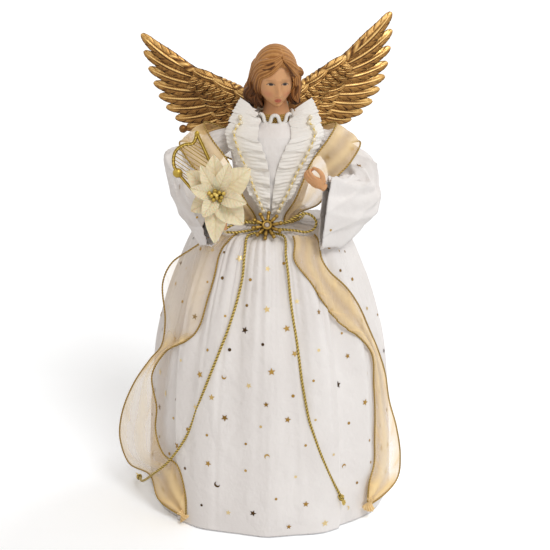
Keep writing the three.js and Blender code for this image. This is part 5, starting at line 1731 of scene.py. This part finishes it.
def harp():
    def flat(points):
        return np.array([(x, HARP_DEPTH, z + WAIST) for x, z in points], float)

    shape = Shape()
    neck = even(catmull(flat(HARP_NECK), np.linspace(0, 1, 400)), 0.6)
    box = even(catmull(flat(HARP_BOX), np.linspace(0, 1, 400)), 0.6)
    pillar = even(np.array([neck[-1], flat([HARP_FOOT])[0]]), 0.6)
    for path, radii in ((neck, (1.5, 1.25, 1.35, 1.3)), (box, (1.4, 1.5, 1.9)), (pillar, (1.25, 1.4))):
        share = np.linspace(0, 1, len(path))
        angle = full_turn(18)
        flute = swell(4 * angle[None, :] + 0 * share[:, None])
        reach = np.interp(share, np.linspace(0, 1, len(radii)), radii)[:, None] * (0.84 + 0.16 * flute)
        shape.tube(path, reach, 18, crest=0.25 + 0.75 * flute)
    shape.ball(neck[-1], (3.9, 3.4, 3.9), 28, 18, crest=0.7)
    shape.ball(neck[0], (1.9, 1.8, 2.3), 24, 16, crest=0.7)
    shape.ball(box[-1], (3.8, 3.2, 3.2), 24, 16, crest=0.7)
    for k in range(STRINGS):
        share = (k + 0.6) / STRINGS
        top = neck[int((share * 0.92 + 0.04) * (len(neck) - 1))]
        foot = box[int((share * 0.78 + 0.06) * (len(box) - 1))]
        shape.tube(np.linspace(top, foot, 12), 0.32, 8, crest=0.55)
        shape.ball(top + (0, -1.6, 0), (0.8, 0.8, 0.8), 10, 8, crest=0.9)
    shape.make("harp_cast", HARP_GOLD, "hand_right", "cast_gold", ["harp"])


PETALS_OUTER = [(38, 33, 22), (95, 31, 18), (142, 30, 18), (212, 24, 17), (267, 38, 17), (311, 31, 22)]
PETALS_INNER = [(68, 27, 12), (118, 26, 12), (165, 21, 12), (238, 20, 12), (345, 24, 13)]
FLOWER_TILT = rot_x(-14)
FLOWER_CENTRE = np.array((-41, -84, 42 + WAIST))


def petal(shape, angle, length, width, rise, droop, front):
    out = np.array((math.cos(math.radians(angle)), 0, math.sin(math.radians(angle))))
    across = np.array((-out[2], 0, out[0]))
    s, q = np.linspace(0.03, 1, 60)[:, None], np.linspace(-1, 1, 33)[None, :]
    wide = np.sin(math.pi * np.clip(s, 0, 1) ** 0.8) ** 0.8 * 0.5 * width + 0.15
    y = -front - rise * np.sin(0.6 * math.pi * s) + droop * s * s
    cup = 0.28 * wide * np.abs(q) ** 1.6
    frill = 0.7 * np.sin(17 * s + 2 * q + angle) * np.abs(q) ** 3 * smooth(s, 0.2, 0.5)
    rib = hump(q, 0.08)
    vein = swell(TAU * (9 * s - 1.6 * np.abs(q)))
    depth = y - cup + frill + 0.5 * rib - 0.3 * vein * (1 - rib)
    points = s[..., None] * length * out + (q * wide)[..., None] * across
    faces = []
    for thick in (0.0, 0.55):
        layer = points.copy()
        layer[..., 1] += depth + thick * (1 - 0.8 * q**8)
        faces.append(layer)
    rings = np.concatenate([faces[0], faces[1][:, ::-1]], axis=1)
    # painted light and shade: bands along the vein folds, a darker rib and root and a lighter tip
    lie = np.clip(
        0.72 + 0.1 * vein - 0.16 * rib + 0.12 * smooth(s, 0.4, 1) - 0.35 * (1 - smooth(s, 0.05, 0.3)), 0, 1
    )
    crest = np.concatenate([lie, lie[:, ::-1]], axis=1)
    shape.grid(turned(rings, FLOWER_TILT, FLOWER_CENTRE), wrap_columns=True, cap=True, crest=crest)


def flower():
    for name, petals, rise, droop, front in (
        ("outer", PETALS_OUTER, 2, 6, 0),
        ("inner", PETALS_INNER, 8, 2, 2.4),
    ):
        shape = Shape()
        for angle, length, width in petals:
            petal(shape, angle, length, width, rise, droop, front)
        shape.ball(
            turned((0, -front, 0), FLOWER_TILT, FLOWER_CENTRE),
            (3.6, 0.8, 3.6),
            24,
            10,
            FLOWER_TILT,
            crest=0.5,
        )
        shape.make("poinsettia_petals_" + name, PETAL, "hand_right", "ivory", ["poinsettia_" + name])
    stamens = Shape()
    drops = np.random.default_rng(8)
    for k in range(11):
        a, r = k * 2.4, 1.75 * math.sqrt(k)
        tip = np.array((1.15 * r * math.cos(a), -8.6 + drops.uniform(-0.9, 0.9), 0.82 * r * math.sin(a)))
        foot = np.array((0.3 * tip[0], -4.0, 0.3 * tip[2]))
        path = turned(np.linspace(foot, tip, 6), FLOWER_TILT, FLOWER_CENTRE)
        # dark stalks: painted shade among the beads
        stamens.tube(path, 0.6, 10, crest=0.15)
        stamens.ball(path[-1], (1.65, 1.65, 1.65), 18, 12, crest=drops.uniform(0.45, 0.95))
    # a dark disc under the beads: painted shade in the flower's heart
    stamens.ball(
        turned((0, -3.9, 0), FLOWER_TILT, FLOWER_CENTRE), (6.4, 1.6, 5.2), 32, 10, FLOWER_TILT, crest=0.0
    )
    stamens.make("poinsettia_stamen_heads", GOLD_CORD, "hand_right", "cord", ["poinsettia_stamens"])
    rotation, origin = hand_frame(ARMS["right"])
    grip = turned((15, 4.6, 0), rotation, origin)
    heart = turned((0, 1.3, 0), FLOWER_TILT, FLOWER_CENTRE)
    route = [grip + (1.5, 4, -8), grip, grip + 0.6 * (heart - grip), heart]
    stem = Shape().rope(catmull(route, np.linspace(0, 1, 200)), 1.1, 5, 3.0, 20)
    stem.make("poinsettia_wire_stem", PETAL, "hand_right", "ivory", ["poinsettia_stem"])


harp()
flower()


# Hard CAD nodes that stay as they are get their finish

for node, finish in {
    "torso_core": FOAM,
    "neck_dowel": WOOD,
    "arm_wire_left": STEEL,
    "arm_wire_right": STEEL,
    "wing_plate": CARD,
    "wing_screw_left": STEEL,
    "wing_screw_right": STEEL,
}.items():
    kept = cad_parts[node]
    kept.data.materials.clear()
    kept.data.materials.append(finish)


# Floor, sky and lamps. The room is a little brighter at the figure's left

ROOM_LIGHT = 0.51
ROOM_LEAN = 0.05
FLOOR_REACH = 12


def stage():
    f = Finish("floor", Base_Color=(0.93, 0.955, 0.985, 1), Roughness=0.9)
    bright = f.node("ShaderNodeBsdfDiffuse", {"Color": (1.3, 1.37, 1.45, 1)})
    both = f.node("ShaderNodeMixShader", {0: f.node("ShaderNodeLightPath").outputs["Is Camera Ray"]})
    f.tree.links.new(f.shader.outputs[0], both.inputs[1])
    f.tree.links.new(bright.outputs[0], both.inputs[2])
    f.tree.links.new(both.outputs[0], f.tree.nodes["Material Output"].inputs["Surface"])
    mesh = bpy.data.meshes.new("floor")
    far = FLOOR_REACH
    mesh.from_pydata([(-far, -far, 0), (far, -far, 0), (far, far, 0), (-far, far, 0)], [], [[0, 1, 2, 3]])
    mesh.materials.append(f.made)
    placed("floor", mesh)

    world = bpy.data.worlds.new("studio")
    world.use_nodes = True
    room = Nodes(world.node_tree)
    sky = room.tree.nodes["Background"]
    path = room.node("ShaderNodeLightPath").outputs
    shown = room.math("MAXIMUM", path["Is Camera Ray"], path["Is Glossy Ray"])
    shown = room.math("MAXIMUM", shown, path["Is Transmission Ray"])
    view = room.node("ShaderNodeTexCoord").outputs["Generated"]
    way = room.node("ShaderNodeSeparateXYZ", {0: view}).outputs["X"]
    light = room.math("ADD", room.math("MULTIPLY", way, ROOM_LEAN), ROOM_LIGHT)
    level = room.node("ShaderNodeMix", {0: shown, 2: light, 3: 1.0}).outputs[0]
    room.tree.links.new(level, sky.inputs["Strength"])
    sideways = room.math("ADD", room.math("MULTIPLY", way, 0.5), 0.5)
    tint = room.mix(sideways, (1, 0.87, 0.75), (1, 0.98, 0.955))
    room.tree.links.new(room.mix(shown, tint, (1, 1, 1)), sky.inputs["Color"])
    bpy.context.scene.world = world


def lamp(name, towards, strength, spread, colour=(1, 1, 1)):
    """A far lamp in the direction given, as wide as the spread in degrees."""
    data = bpy.data.lights.new(name, "SUN")
    data.angle = math.radians(spread)
    data.energy = strength
    data.color = colour
    placed(name, data).rotation_euler = Vector(towards).to_track_quat("Z", "Y").to_euler()


stage()
lamp("key", (0.7, -1.2, 1.35), 1.1, 22, (1, 0.985, 0.96))
lamp("rim", (1.2, 0.75, 1.2), 0.55, 22, (1, 0.985, 0.96))

bpy.context.view_layer.update()
